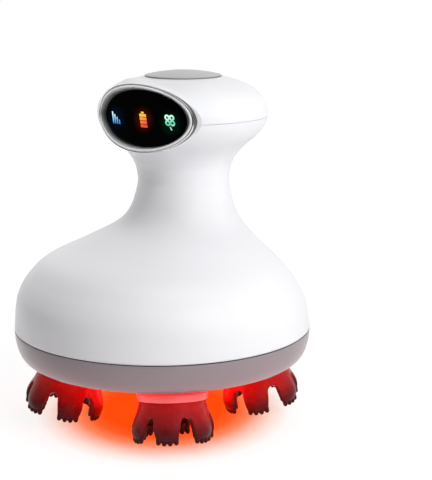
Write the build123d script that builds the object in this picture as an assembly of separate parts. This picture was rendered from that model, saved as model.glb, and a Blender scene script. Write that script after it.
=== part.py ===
from build123d import *
from math import atan, cos, pi, radians, sin, sqrt, tan
import os

os.makedirs("parts", exist_ok=True)

# Electric scalp massager, rechargeable, with four splayed rotating silicone claws.
# Millimetres, +Z up. The display faces -Y. The origin is on the table, under the
# middle of the round base, and the lowest claw nubs touch z = 0.

# ---------------------------------------------------------------- outer casing
BODY_RADIUS = 58.0         # round base and dome
SEAM_GASKET = 0.5          # thickness of the gasket between the grey rim and the housing
GASKET_INSET = 0.3         # gasket inside the body's outline
DOME_HEIGHT = 54.6         # from the rim's seam to the slimmest place of the neck
NECK_RADIUS = 18.2
NECK_SET_BACK = 13.5       # the neck stands behind the middle of the dome
HEAD_RADIUS = 33.2
HEAD_RISE = 26.8           # from the neck to the seam between housing and head cover
CROWN_HEIGHT = 16.3        # head cover, above that seam
CROWN_POINTS = 8
CROWN_FULLNESS = 2.3       # exponent of the cover's rounded outline, 2 is an ellipse
CASE_WALL = 2.4
CUT = 1.0                  # how far cutting tools reach past a surface

# Dome outline: share of the height to the neck, share of the way from neck radius
# to body radius, and share of the neck's set-back.
DOME_SHAPE = [
    (0.00, 1.000, 0.00), (0.16, 0.975, -0.04), (0.27, 0.925, -0.10), (0.38, 0.832, -0.11),
    (0.49, 0.680, -0.04), (0.60, 0.420, 0.38), (0.71, 0.185, 0.80), (0.82, 0.068, 0.95),
    (1.00, 0.000, 1.00),
]
# Underside of the head: share of the height from neck to head seam, and share of
# the way from neck radius to head radius.
HEAD_SHAPE = [
    (0.24, 0.035), (0.39, 0.150), (0.52, 0.330), (0.61, 0.500), (0.70, 0.690),
    (0.80, 0.850), (0.90, 0.955), (1.00, 1.000),
]

# ---------------------------------------------------------------- base rim and floor
RIM_WALL = 2.0
RIM_EDGE_WIDTH = 5.0       # the rim turns under within this width
RIM_EDGE_HEIGHT = 11.7
RIM_EDGE_TURN = 82.0       # degrees of the edge curve before the underside begins
FLOOR_INSET = 8.0          # floor's edge inside the body's outline
FLOOR_WALL = 2.4
FLOOR_PAD = 4.0            # thickness of the floor at its screws
RIM_LEDGE_WIDTH = 3.0      # overlap of the rim's ledge, which lies on the floor
RIM_LEDGE_WALL = 1.8
FLOOR_GAP = 0.15           # round the floor's edge

# ---------------------------------------------------------------- massage heads
HEAD_AZIMUTHS = {"front_right": 45.0, "front_left": -45.0, "rear_right": 135.0, "rear_left": -135.0}
CLAW_PHASES = {"front_right": 45.4, "front_left": 44.0, "rear_right": 15.6, "rear_left": 20.0}
HEAD_SPLAY = 11.5          # tilt of each head's axis away from the vertical
HEAD_INSET = 17.8          # head axes inside the body's outline, at the nub tips
CLAW_HEIGHT = 15.6
CLAW_TOP_RADIUS = 12.7
CLAW_RADIUS = 15.2
CLAW_WALL = 2.6
CLAW_ROOF = 2.5
CLAW_WAIST = 0.9           # the bell is this much slimmer halfway up
CLAW_HEM = 0.3             # and this much slimmer at the finger ends
FINGER_COUNT = 6
FINGER_GAP = 5.2
FINGER_GAP_HEIGHT = 10.8
FINGER_END = 2.4           # the finger ends are this far above the nub tips
NUB_RADIUS = 1.1
NUB_INSET = 1.2            # nub axes inside the claw's outside
NUBS_PER_FINGER = 4
NUB_PITCH = 10.0           # degrees
COLLAR_RADIUS = 13.8
COLLAR_HEIGHT = 2.8
COLLAR_GAP = 0.58          # between the collar and the floor
CORE_SPIGOT_RADIUS = 5.0
PLUG_RADIUS = 8.9
PLUG_LENGTH = 7.9
PLUG_GROOVES = (2.4, 5.2)  # middles of the ring grooves, above the collar
PLUG_GROOVE_WIDTH = 1.5
PLUG_GROOVE_DEPTH = 0.9
HEX_SIZE = 4.0             # corner radius of the driving hexagon
HEX_LENGTH = 5.0

# ---------------------------------------------------------------- sockets and their bearings
SOCKET_WALL = 2.2
SOCKET_ROOF = 1.8
SOCKET_RECESS = 0.3        # mouth of the socket above the floor's underside
SHAFT_RADIUS = 3.0
BUSH_WALL = 1.6
BUSH_LENGTH = 5.5
SEAL_WALL = 1.15
SEAL_HEIGHT = 3.0
TUBE_WALL = 1.6
TUBE_HEIGHT = 6.5
PLATE_BOSS_WALL = 2.4
RUNNING_CLEARANCE = 0.05
SLIDING_CLEARANCE = 0.08
BODY_CLEARANCE = 0.35      # between pieces that move past each other

# ---------------------------------------------------------------- gears and motor
SUN_TEETH = 18
HEAD_GEAR_TEETH = 22
GEAR_WIDTH = 5.0
PRESSURE_ANGLE = 20.0
BACKLASH = 0.22            # thinning of each tooth at the pitch circle
ADDENDUM = 1.0             # tooth heights, in modules
DEDENDUM = 1.25
ROOT_LAND = 0.15
ROOT_SPREAD = 0.10
FLANK_POINTS = 4
PLATE_GAP = 0.8            # between the head gears and the plate
PLATE_THICKNESS = 2.5
PLATE_INSET = 18.0         # plate's edge inside the body's outline
PILLAR_INSET = 4.5         # pillar axes inside the plate's edge
PILLAR_RADIUS = 4.0
GEARBOX_RADIUS = 17.0
GEARBOX_HEIGHT = 10.0
MOTOR_RADIUS = 14.0
MOTOR_GAP = 2.2            # between the motor and the battery cradle
MOTOR_TERMINAL_RADIUS = 1.2
MOTOR_TERMINAL_RING = 8.0
MOTOR_HUB_RADIUS = 5.0
MOTOR_HUB_HEIGHT = 1.6
MOTOR_SHAFT_RADIUS = 3.0
SHAFT_HOLE_CLEARANCE = 1.0

# ---------------------------------------------------------------- fasteners
SCREW_RADIUS = 1.5
SCREW_HEAD_RADIUS = 2.7
SCREW_HEAD_HEIGHT = 1.8
SCREW_LENGTH = 10.0
SCREW_DRIVE_RADIUS = 1.2
SCREW_DRIVE_DEPTH = 0.9
SCREW_HOLE_CLEARANCE = 0.2
SCREW_SINK = 0.3           # heads below the surface
SWITCH_SCREW_LENGTH = 3.6
PLATE_SCREW_LENGTH = 9.0
CASE_BOSS_INSET = 13.0     # boss axes inside the body's outline
CASE_BOSS_RADIUS = 4.0
CASE_WEB_WIDTH = 3.0
CASE_WEB_HEIGHT = 8.0
CASE_WEB_START = 1.0       # web above the seam

# ---------------------------------------------------------------- electronics
LED_BOARD_GAP = 4.4        # between the lamp board and the sockets' guide tubes
BOARD_THICKNESS = 1.6
LED_RING_INSET = 6.0       # lamps inside the board's edge
LED_COUNT = 8
LED_SIZE = 3.0
LED_HEIGHT = 1.2
LED_POST_RADIUS = 2.0
LED_POST_HEIGHT = 3.26
CONTROL_BOARD_HEIGHT = 22.0
CONTROL_BOARD_GAP = 8.0    # between the gearbox and the control board
CONTROL_BOARD_MARGIN = 3.1 # between the board's rails and the plate's edge
BOARD_RAIL = 3.0
BOARD_RAIL_HEIGHT = 12.0
CHIP_SIZE = 12.0
CHIP_LOW = 8.0             # chip above the plate
CHIP_HEIGHT = 8.0
CHIP_THICKNESS = 1.5
CELL_RADIUS = 9.1
CELL_LENGTH = 50.0
CELL_NUB = 1.0             # positive end of the cell
CELL_FIT = 0.1
CELL_HEADROOM = 0.8        # between the cell and the switch board
CRADLE_FLOOR = 1.8
CRADLE_WALL = 1.8
CRADLE_HEIGHT = 40.0
CRADLE_OPENING = 15.0      # width of the slot that the cell snaps in through
CRADLE_LEG_X = 19.0
CRADLE_LEG_RADIUS = 2.6

# ---------------------------------------------------------------- charging port
PORT_RISE = 7.0            # port above the rim's seam
PORT_WIDTH = 9.2
PORT_HEIGHT = 3.4
PORT_DEPTH = 7.5
PORT_SHELL = 0.35
PORT_TONGUE = 0.7
PORT_COVER_WIDTH = 14.4
PORT_COVER_HEIGHT = 6.4
PORT_COVER_THICKNESS = 1.4
PORT_FRAME = 1.6           # housing round the port, behind the cover
PORT_BACK = 1.0            # rear wall of the socket
PORT_TONGUE_WIDTH = 6.2

# ---------------------------------------------------------------- display
HOOD_HALF_WIDTH = 24.6
HOOD_HALF_HEIGHT = 13.0
HOOD_RISE = 1.2            # middle of the hood above the head seam
HOOD_REACH = 27.4          # from the neck's axis forward to the front
HOOD_ROOT = 4.5            # from the neck's axis forward to the hood's start
HOOD_WALL = 1.3
HOOD_CURVE = 56.8          # plan radius of the curved front
BEZEL_FLANGE = 0.3         # flange's front ahead of the hood's
BEZEL_DEPTH = 0.6          # ring's front ahead of the hood's
BEZEL_SIDE_STEP = 1.9      # ring inside the flange at its sides
BEZEL_TOP_STEP = 0.3       # and at its top and bottom
BEZEL_SIDE_LIP = 0.7       # width of the ring's front at its sides
BEZEL_TOP_LIP = 1.0        # and at its top and bottom
WINDOW_RECESS = 2.9        # window's front behind the hood's, in the middle
WINDOW_CURVE = 100.0       # plan radius of the window's front
WINDOW_HALF_WIDTH = 20.05  # of the part that shows inside the ring
WINDOW_HALF_HEIGHT = 10.3
WINDOW_THICKNESS = 1.6
DISPLAY_FIT = 0.1
DISPLAY_BOARD_MARGIN = 3.0
ICON_THICKNESS = 0.15
ICON_HEIGHT = 5.0
ICON_SPACING = 13.4
ICON_SLANT = 9.5

# ---------------------------------------------------------------- power button
BUTTON_RADIUS = 14.85
BUTTON_RISE = 1.4          # dome above the button's rim
BUTTON_EDGE = 0.8          # the rim stands this far above the cover
BUTTON_TRAVEL = 0.8
BUTTON_WALL = 1.8
BUTTON_FLANGE = 1.2
BUTTON_STEM_RADIUS = 2.2
SWITCH_BOARD_LENGTH = 46.0
SWITCH_BOARD_WIDTH = 14.0
SWITCH_BOARD_RISE = 6.4    # board above the head seam
SWITCH_SIZE = 6.0
SWITCH_HEIGHT = 2.0        # with its plunger
SWITCH_BODY_HEIGHT = 1.4
SWITCH_PLUNGER_RADIUS = 1.5
SWITCH_POST_X = 20.0
SWITCH_POST_RADIUS = 2.4


# ================================================================ helpers
def save(shape, name):
    """Write one named sub-part."""
    solids = shape.solids()
    export_step(solids[0] if len(solids) == 1 else Compound(children=solids), f"parts/{name}.step")


def ring(outer, inner, low, high):
    """A flat ring about the Z axis between two heights."""
    return Pos(0, 0, (low + high) / 2) * (
        Cylinder(outer, high - low) - Cylinder(inner, 2 * (high - low)))


def rod(radius, low, high):
    """A cylinder about the Z axis between two heights."""
    return Pos(0, 0, (low + high) / 2) * Cylinder(radius, high - low)


def block(x, y, z):
    """A box from three (low, high) pairs."""
    middle = Pos(sum(x) / 2, sum(y) / 2, sum(z) / 2)
    return middle * Box(x[1] - x[0], y[1] - y[0], z[1] - z[0])


def around(count, radius, first=0.0):
    """Places evenly spaced on a circle about the Z axis."""
    return [Rot(0, 0, first + 360 / count * k) * Pos(radius, 0, 0) for k in range(count)]


def spun(edges):
    """A solid turned about Z from its half outline in the XZ plane."""
    return revolve(make_face(edges), Axis.Z)


# ================================================================ levels and rings
FLOOR_RADIUS = BODY_RADIUS - FLOOR_INSET
HEAD_RING_RADIUS = BODY_RADIUS - HEAD_INSET
PLATE_RADIUS = BODY_RADIUS - PLATE_INSET
PILLAR_RING = PLATE_RADIUS - PILLAR_INSET
CASE_BOSS_RING = BODY_RADIUS - CASE_BOSS_INSET
APEX_LIFT = HEAD_RING_RADIUS / tan(radians(HEAD_SPLAY))
SLANT = HEAD_RING_RADIUS / sin(radians(HEAD_SPLAY))


def nub_angles(phase):
    """Angles of all nubs about the head's axis, from its outward side."""
    half = (NUBS_PER_FINGER - 1) / 2
    return [phase + 360 / FINGER_COUNT * f + NUB_PITCH * (k - half)
            for f in range(FINGER_COUNT) for k in range(NUBS_PER_FINGER)]


def tip_plane_height():
    """Height of the nub-tip plane's middle when the lowest nub touches the table."""
    inward = min(cos(radians(a)) for phase in CLAW_PHASES.values() for a in nub_angles(phase))
    tilt = radians(HEAD_SPLAY)
    return NUB_RADIUS * (1 - cos(tilt)) - (CLAW_RADIUS - NUB_INSET) * sin(tilt) * inward


TIP_Z = tip_plane_height()
APEX_Z = TIP_Z + APEX_LIFT
COLLAR_HIGH = CLAW_HEIGHT + COLLAR_HEIGHT
FLOOR_S = COLLAR_HIGH + COLLAR_GAP      # floor's underside, along a head's axis
FLOOR_SPHERE = SLANT - FLOOR_S
EDGE_TURN = radians(RIM_EDGE_TURN)
EDGE_END_R = BODY_RADIUS - RIM_EDGE_WIDTH + RIM_EDGE_WIDTH * cos(EDGE_TURN)


def floor_height(radius, inset=0.0):
    """Height of the domed underside at one radius from the middle."""
    return APEX_Z - sqrt((FLOOR_SPHERE - inset) ** 2 - radius ** 2)


SEAM_Z = floor_height(EDGE_END_R) + RIM_EDGE_HEIGHT * sin(EDGE_TURN)
NECK_Z = SEAM_Z + DOME_HEIGHT
HEAD_SEAM_Z = NECK_Z + HEAD_RISE
HOOD_Z = HEAD_SEAM_Z + HOOD_RISE
HOOD_FRONT_Y = NECK_SET_BACK - HOOD_REACH
HOOD_BACK_Y = NECK_SET_BACK - HOOD_ROOT
WINDOW_Y = HOOD_FRONT_Y + WINDOW_RECESS
SWITCH_BOARD_Z = HEAD_SEAM_Z + SWITCH_BOARD_RISE
CRADLE_Z = SWITCH_BOARD_Z - CELL_HEADROOM - CELL_LENGTH - CRADLE_FLOOR
PORT_Z = SEAM_Z + PORT_RISE


# ================================================================ casing
def dome_stations():
    """(z, radius, centre y) of the round sections from the seam to the head seam."""
    swell = BODY_RADIUS - NECK_RADIUS
    dome = [(SEAM_Z + DOME_HEIGHT * h, NECK_RADIUS + swell * r, NECK_SET_BACK * y)
            for h, r, y in DOME_SHAPE]
    spread = HEAD_RADIUS - NECK_RADIUS
    head = [(NECK_Z + HEAD_RISE * h, NECK_RADIUS + spread * r, NECK_SET_BACK) for h, r in HEAD_SHAPE]
    return dome + head


def inset_stations(stations, wall):
    """The same sections moved inwards by a wall measured square to the surface."""
    inner = []
    last = len(stations) - 1
    for k, (z, radius, y) in enumerate(stations):
        low = stations[max(k - 1, 0)]
        high = stations[min(k + 1, last)]
        slope = (high[1] - low[1]) / (high[0] - low[0])
        if k in (0, last):
            slope = 0
        inner.append((z, radius - wall * sqrt(1 + slope ** 2), y))
    return inner


def casing_at(z):
    """Radius and centre y of the casing's round section at one height."""
    stations = dome_stations()
    for low, high in zip(stations, stations[1:]):
        if low[0] <= z <= high[0]:
            share = (z - low[0]) / (high[0] - low[0])
            return tuple(a + (b - a) * share for a, b in zip(low[1:], high[1:]))
    return stations[-1][1:]


def stack(stations):
    """A smooth solid through round sections."""
    return loft([Plane(origin=(0, y, z)) * Circle(radius) for z, radius, y in stations])


def crown_height(radius, inset=0.0):
    """Height of the head cover's outline above the head seam at one radius."""
    share = (radius / (HEAD_RADIUS - inset)) ** CROWN_FULLNESS
    return (CROWN_HEIGHT - inset) * (1 - share) ** (1 / CROWN_FULLNESS)


def crown(inset=0.0):
    """The rounded top of the head, as a solid above the head seam."""
    wide = HEAD_RADIUS - inset
    tall = CROWN_HEIGHT - inset
    turns = [pi / 2 * k / CROWN_POINTS for k in range(CROWN_POINTS)]
    power = 2 / CROWN_FULLNESS
    points = [(wide * cos(t) ** power, 0, tall * sin(t) ** power) for t in turns]
    outline = Spline(*points, (0, 0, tall), tangents=[(0, 0, 1), (-1, 0, 0)])
    top = spun([Line((0, 0, 0), (wide, 0, 0)), outline, Line((0, 0, tall), (0, 0, 0))])
    return Pos(0, NECK_SET_BACK, HEAD_SEAM_Z) * top


def oval(half_width, half_height, y=0.0):
    """An ellipse that faces forwards, at the height of the display."""
    return Plane(origin=(0, y, HOOD_Z), x_dir=(1, 0, 0), z_dir=(0, -1, 0)) * Ellipse(half_width, half_height)


def curved_layer(low, high, front_y, curve):
    """A layer between two depths, measured forwards from an upright curved surface."""
    tall = 4 * HOOD_HALF_HEIGHT
    layer = Cylinder(curve + high, tall) - Cylinder(curve + low, 2 * tall)
    return Pos(0, front_y + curve, HOOD_Z) * layer


def front_bar(half_width, half_height, low, high):
    """An elliptical bar along Y, between two depths from the hood's front surface."""
    bar = extrude(oval(half_width, half_height), 2 * HOOD_CURVE)
    return bar & curved_layer(low, high, HOOD_FRONT_Y, HOOD_CURVE)


def window_bar(half_width, half_height, low, high):
    """The same, between two depths from the window's flatter front surface."""
    bar = extrude(oval(half_width, half_height), WINDOW_CURVE)
    return bar & curved_layer(low, high, WINDOW_Y, WINDOW_CURVE)


def hood(inset=0.0, front=0.0):
    """The oval nose of the head that carries the display."""
    reach = HOOD_BACK_Y - HOOD_FRONT_Y
    return (front_bar(HOOD_HALF_WIDTH - inset, HOOD_HALF_HEIGHT - inset, -HOOD_CURVE / 2, front)
            & block((-HEAD_RADIUS, HEAD_RADIUS), (HOOD_FRONT_Y - reach, HOOD_BACK_Y),
                    (HOOD_Z - 2 * HOOD_HALF_HEIGHT, HOOD_Z + 2 * HOOD_HALF_HEIGHT)))


def slab(low, high):
    """Everything between two heights."""
    return block((-2 * BODY_RADIUS, 2 * BODY_RADIUS), (-2 * BODY_RADIUS, 2 * BODY_RADIUS), (low, high))


def before_front(inset=0.0):
    """Space ahead of the head's curved front, or of the inside of its wall."""
    tall = 2 * CROWN_HEIGHT + HEAD_RISE
    axis_y = HOOD_FRONT_Y + HOOD_CURVE
    space = block((-2 * HEAD_RADIUS, 2 * HEAD_RADIUS), (-2 * BODY_RADIUS, HOOD_BACK_Y), (NECK_Z, NECK_Z + tall))
    return space - Pos(0, axis_y, NECK_Z) * Cylinder(HOOD_CURVE - inset, 3 * tall)


def port_spot():
    """Outermost y of the casing at the charging port."""
    radius, middle = casing_at(PORT_Z)
    return middle + radius


def case_boss(angle):
    """A screw boss inside the housing, tied to its wall by a web."""
    low = floor_height(CASE_BOSS_RING) + FLOOR_PAD
    high = SEAM_Z + CASE_WEB_START + CASE_WEB_HEIGHT
    post = Pos(CASE_BOSS_RING, 0, 0) * rod(CASE_BOSS_RADIUS, low, high)
    web = block((CASE_BOSS_RING, BODY_RADIUS - CASE_WALL / 2), (-CASE_WEB_WIDTH / 2, CASE_WEB_WIDTH / 2),
                (SEAM_Z + CASE_WEB_START, high))
    bore = Pos(CASE_BOSS_RING, 0, 0) * rod(SCREW_RADIUS, low - CUT, low + SCREW_LENGTH)
    return Rot(0, 0, angle) * (post + web - bore)


OUTER = dome_stations()
SHELL = stack(OUTER) + crown() + hood() - before_front()
HOLLOW = stack(inset_stations(OUTER, CASE_WALL)) + crown(CASE_WALL)
HOLLOW = (HOLLOW - before_front(CASE_WALL)) + hood(HOOD_WALL, CUT)
GASKET_HALF = SEAM_GASKET / 2


# ================================================================ base
BOWL_EDGE_POINTS = 6
BOWL_END_PULL = 6          # how strongly the edge curve heads inwards at its end


def bowl(inset=0.0):
    """The solid bowl under the seam, with its rim curve and domed underside."""
    wide = RIM_EDGE_WIDTH
    middle = BODY_RADIUS - wide
    turns = [EDGE_TURN * k / BOWL_EDGE_POINTS for k in range(BOWL_EDGE_POINTS + 1)]
    rim = [(middle + (wide - inset) * cos(t), 0, SEAM_Z - (RIM_EDGE_HEIGHT - inset) * sin(t)) for t in turns]
    end = rim[-1]
    drop = end[2] - floor_height(end[0], inset)
    under = [(reach, 0, drop + floor_height(reach, inset)) for reach in (end[0] / 2, 0)]
    edge = Spline(*rim, tangents=[(0, 0, -1), (-tan(pi / 2 - EDGE_TURN) - BOWL_END_PULL, 0, -1)])
    floor = ThreePointArc(end, *under)
    top = (rim[0][0], 0, SEAM_Z)
    return spun([edge, floor, Line(under[-1], (0, 0, SEAM_Z)), Line((0, 0, SEAM_Z), top)])


def dome_shell(inset_low, inset_high, outer, inner=0.0):
    """Part of the domed underside: a layer between two insets and two radii."""
    low = Pos(0, 0, APEX_Z) * Sphere(FLOOR_SPHERE - inset_low)
    high = Pos(0, 0, APEX_Z) * Sphere(FLOOR_SPHERE - inset_high)
    layer = (rod(outer, 0, SEAM_Z) & low) - high
    return layer - rod(inner, -CUT, SEAM_Z + CUT) if inner else layer


# ================================================================ head axes
def head_frame(azimuth):
    """A head's own frame: origin at the nub-tip plane, z up its axis, x outwards."""
    out = Vector(sin(radians(azimuth)), -cos(radians(azimuth)), 0)
    tilt = radians(HEAD_SPLAY)
    up = out * -sin(tilt) + Vector(0, 0, cos(tilt))
    along = out * cos(tilt) + Vector(0, 0, sin(tilt))
    origin = out * HEAD_RING_RADIUS + Vector(0, 0, TIP_Z)
    return Plane(origin=origin, x_dir=along, z_dir=up).location


SOCKET_LOW = FLOOR_S + SOCKET_RECESS
SOCKET_INNER = PLUG_RADIUS + SLIDING_CLEARANCE
SOCKET_OUTER = SOCKET_INNER + SOCKET_WALL
SOCKET_CEILING = COLLAR_HIGH + PLUG_LENGTH + BODY_CLEARANCE
SOCKET_HIGH = SOCKET_CEILING + SOCKET_ROOF
GEAR_HIGH = SOCKET_HIGH + GEAR_WIDTH
BUSH_LOW = GEAR_HIGH + BODY_CLEARANCE
BUSH_HIGH = BUSH_LOW + BUSH_LENGTH
BUSH_OUTER = SHAFT_RADIUS + RUNNING_CLEARANCE + BUSH_WALL
SEAL_INNER = SOCKET_OUTER + RUNNING_CLEARANCE
SEAL_OUTER = SEAL_INNER + SEAL_WALL
TUBE_OUTER = SEAL_OUTER + TUBE_WALL
TUBE_HIGH = FLOOR_S + TUBE_HEIGHT
SEAL_HIGH = SOCKET_LOW + SEAL_HEIGHT


# ================================================================ massage heads
def claw_outline():
    """Half section of the flared bell that the fingers are cut from."""
    mid = (FINGER_END + CLAW_HEIGHT) / 2
    wide_s = FINGER_END + CLAW_WALL
    waist = CLAW_RADIUS - CLAW_WAIST
    hem = CLAW_RADIUS - CLAW_HEM
    outside = [(hem, FINGER_END), (CLAW_RADIUS, wide_s), (waist, mid), (CLAW_TOP_RADIUS, CLAW_HEIGHT)]
    ceiling = CLAW_HEIGHT - CLAW_ROOF
    inside = [(CLAW_TOP_RADIUS - CLAW_WALL, ceiling), (waist - CLAW_WALL, mid),
              (CLAW_RADIUS - CLAW_WALL, wide_s), (hem - CLAW_WALL, FINGER_END)]
    outer = Spline(*[(r, 0, s) for r, s in outside])
    inner = Spline(*[(r, 0, s) for r, s in inside])
    hole_high = (CORE_SPIGOT_RADIUS, 0, CLAW_HEIGHT)
    hole_low = (CORE_SPIGOT_RADIUS, 0, ceiling)
    return [outer, Line(outer @ 1, hole_high), Line(hole_high, hole_low),
            Line(hole_low, inner @ 0), inner, Line(inner @ 1, outer @ 0)]


def claw(phase):
    """One silicone claw: six arched fingers round a bell, each ended by small nubs."""
    bell = spun(claw_outline())
    arch_s = FINGER_GAP_HEIGHT - FINGER_GAP / 2
    reach = 2 * (CLAW_RADIUS + CUT)
    gap = block((-reach / 2, reach / 2), (-FINGER_GAP / 2, FINGER_GAP / 2), (-CUT, arch_s))
    gap += Pos(0, 0, arch_s) * Rot(0, 90, 0) * Cylinder(FINGER_GAP / 2, reach)
    half_step = 180 / FINGER_COUNT
    cuts = [Rot(0, 0, half_step + 2 * half_step * k) * gap for k in range(FINGER_COUNT // 2)]
    nub = rod(NUB_RADIUS, NUB_RADIUS, FINGER_END + NUB_RADIUS) + Pos(0, 0, NUB_RADIUS) * Sphere(NUB_RADIUS)
    nubs = [Rot(0, 0, a) * Pos(CLAW_RADIUS - NUB_INSET, 0, 0) * nub for a in nub_angles(0)]
    return Rot(0, 0, phase) * ((bell - cuts) + nubs)


def core():
    """Hard core of a head: collar, grooved plug and the hexagon that drives it."""
    shape = rod(CORE_SPIGOT_RADIUS, CLAW_HEIGHT - CLAW_ROOF, CLAW_HEIGHT)
    shape += rod(COLLAR_RADIUS, CLAW_HEIGHT, COLLAR_HIGH)
    plug_high = COLLAR_HIGH + PLUG_LENGTH
    shape += rod(PLUG_RADIUS, COLLAR_HIGH, plug_high)
    for middle in PLUG_GROOVES:
        low = COLLAR_HIGH + middle - PLUG_GROOVE_WIDTH / 2
        shape -= ring(PLUG_RADIUS + CUT, PLUG_RADIUS - PLUG_GROOVE_DEPTH, low, low + PLUG_GROOVE_WIDTH)
    bore = extrude(RegularPolygon(HEX_SIZE + BODY_CLEARANCE, 6), HEX_LENGTH + 2 * BODY_CLEARANCE)
    return shape - Pos(0, 0, plug_high - HEX_LENGTH - BODY_CLEARANCE) * bore


def plug_ring():
    """Rubber ring in the upper groove that holds the plug in its socket."""
    low = COLLAR_HIGH + PLUG_GROOVES[-1] - PLUG_GROOVE_WIDTH / 2
    return ring(PLUG_RADIUS + SLIDING_CLEARANCE / 2, PLUG_RADIUS - PLUG_GROOVE_DEPTH, low,
                low + PLUG_GROOVE_WIDTH)


def socket():
    """Turning socket: a cup for the plug, a driving hexagon and a shaft."""
    cup = ring(SOCKET_OUTER, SOCKET_INNER, SOCKET_LOW, SOCKET_HIGH)
    cup += rod(SOCKET_INNER, SOCKET_CEILING, SOCKET_HIGH)
    cup += Pos(0, 0, SOCKET_CEILING - HEX_LENGTH) * extrude(RegularPolygon(HEX_SIZE, 6), HEX_LENGTH)
    return cup + rod(SHAFT_RADIUS, SOCKET_HIGH, BUSH_HIGH + BODY_CLEARANCE)


def shaft_seal():
    return ring(SEAL_OUTER, SEAL_INNER, SOCKET_LOW, SEAL_HIGH)


def shaft_bush():
    return ring(BUSH_OUTER, SHAFT_RADIUS + RUNNING_CLEARANCE, BUSH_LOW, BUSH_HIGH)


# ================================================================ bevel gears
SPLAY = radians(HEAD_SPLAY)
TOOTH_SHARE = SUN_TEETH / HEAD_GEAR_TEETH
HEAD_CONE_TAN = sin(SPLAY) / (cos(SPLAY) + TOOTH_SHARE)
HEAD_GEAR_MIDDLE = SOCKET_HIGH + GEAR_WIDTH / 2
HEAD_GEAR_LIFT = SLANT - HEAD_GEAR_MIDDLE      # from the gear's middle to the apex
HEAD_PITCH_RADIUS = HEAD_GEAR_LIFT * HEAD_CONE_TAN
MODULE = 2 * HEAD_PITCH_RADIUS / HEAD_GEAR_TEETH
SUN_PITCH_RADIUS = MODULE * SUN_TEETH / 2
CONE_DISTANCE = sqrt(HEAD_GEAR_LIFT ** 2 + HEAD_PITCH_RADIUS ** 2)
SUN_LIFT = sqrt(CONE_DISTANCE ** 2 - SUN_PITCH_RADIUS ** 2)
SUN_MIDDLE_Z = APEX_Z - SUN_LIFT
HEAD_GEAR_TIP_RADIUS = HEAD_PITCH_RADIUS + ADDENDUM * MODULE
PLATE_Z = TIP_Z + GEAR_HIGH * cos(SPLAY) + HEAD_GEAR_TIP_RADIUS * sin(SPLAY) + PLATE_GAP
PLATE_TOP = PLATE_Z + PLATE_THICKNESS


def involute_angle(base, radius):
    """How far an involute has turned when it reaches a radius."""
    lead = sqrt(max((radius / base) ** 2 - 1, 0))
    return lead - atan(lead)


def gear_points(teeth, first_tooth):
    """Outline of a gear at its pitch plane, with one tooth centred at an angle."""
    pitch = MODULE * teeth / 2
    base = pitch * cos(radians(PRESSURE_ANGLE))
    root = pitch - DEDENDUM * MODULE
    tip = pitch + ADDENDUM * MODULE
    half_tooth = pi / (2 * teeth) - BACKLASH / (2 * pitch) + involute_angle(base, pitch)
    low = max(base, root + ROOT_LAND * MODULE)
    radii = [low + (tip - low) * k / FLANK_POINTS for k in range(FLANK_POINTS + 1)]
    points = []
    for tooth in range(teeth):
        middle = radians(first_tooth) + 2 * pi * tooth / teeth
        flank = [(r, half_tooth - involute_angle(base, r)) for r in radii]
        gap_edge = (root, half_tooth + ROOT_SPREAD * MODULE / pitch)
        side = [gap_edge] + flank
        for radius, offset in side:
            points.append((radius * cos(middle - offset), radius * sin(middle - offset)))
        for radius, offset in reversed(side):
            points.append((radius * cos(middle + offset), radius * sin(middle + offset)))
    return points


def bevel_gear(teeth, first_tooth, lift, bore):
    """A slightly conical gear between z = -half and +half width, pointing at its apex."""
    outline = gear_points(teeth, first_tooth)
    sections = []
    for z in (-GEAR_WIDTH / 2, GEAR_WIDTH / 2):
        scale = (lift - z) / lift
        wire = Polyline(*[(x * scale, y * scale, z) for x, y in outline], close=True)
        sections.append(make_face(wire))
    return loft(sections, ruled=True) - Cylinder(bore, 2 * GEAR_WIDTH)


def head_gear_phase(azimuth):
    """Angle of a head gear's first tooth in its own frame, so that it meshes with the sun."""
    sun_step = 360 / SUN_TEETH
    head_step = 360 / HEAD_GEAR_TEETH
    contact = azimuth - 90
    return 180 - head_step * (-contact / sun_step + 0.5)


# ================================================================ write the massage heads and drive
for place, azimuth in HEAD_AZIMUTHS.items():
    frame = head_frame(azimuth)
    save(frame * claw(CLAW_PHASES[place]), f"massage_claw_{place}")
    save(frame * core(), f"head_core_{place}")
    save(frame * plug_ring(), f"plug_ring_{place}")
    save(frame * socket(), f"head_socket_{place}")
    save(frame * shaft_seal(), f"shaft_seal_{place}")
    save(frame * shaft_bush(), f"shaft_bush_{place}")
    gear = bevel_gear(HEAD_GEAR_TEETH, head_gear_phase(azimuth), HEAD_GEAR_LIFT, SHAFT_RADIUS)
    save(frame * Pos(0, 0, HEAD_GEAR_MIDDLE) * gear, f"head_gear_{place}")

save(Pos(0, 0, SUN_MIDDLE_Z) * bevel_gear(SUN_TEETH, 0, SUN_LIFT, MOTOR_SHAFT_RADIUS), "sun_gear")
save(rod(MOTOR_SHAFT_RADIUS, SUN_MIDDLE_Z - GEAR_WIDTH / 2, PLATE_TOP - BODY_CLEARANCE), "motor_shaft")


# ================================================================ floor, rim and seam gasket
LED_BOARD_Z = floor_height(0) + FLOOR_WALL + LED_POST_HEIGHT
LED_BOARD_RADIUS = HEAD_RING_RADIUS - FLOOR_S * sin(SPLAY) - TUBE_OUTER - LED_BOARD_GAP
LED_RING_RADIUS = LED_BOARD_RADIUS - LED_RING_INSET
LED_POST_RING = LED_BOARD_RADIUS - LED_POST_RADIUS


def at_heads(shape):
    """Copies of one shape in the four head frames."""
    return [head_frame(azimuth) * shape for azimuth in HEAD_AZIMUTHS.values()]


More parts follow.
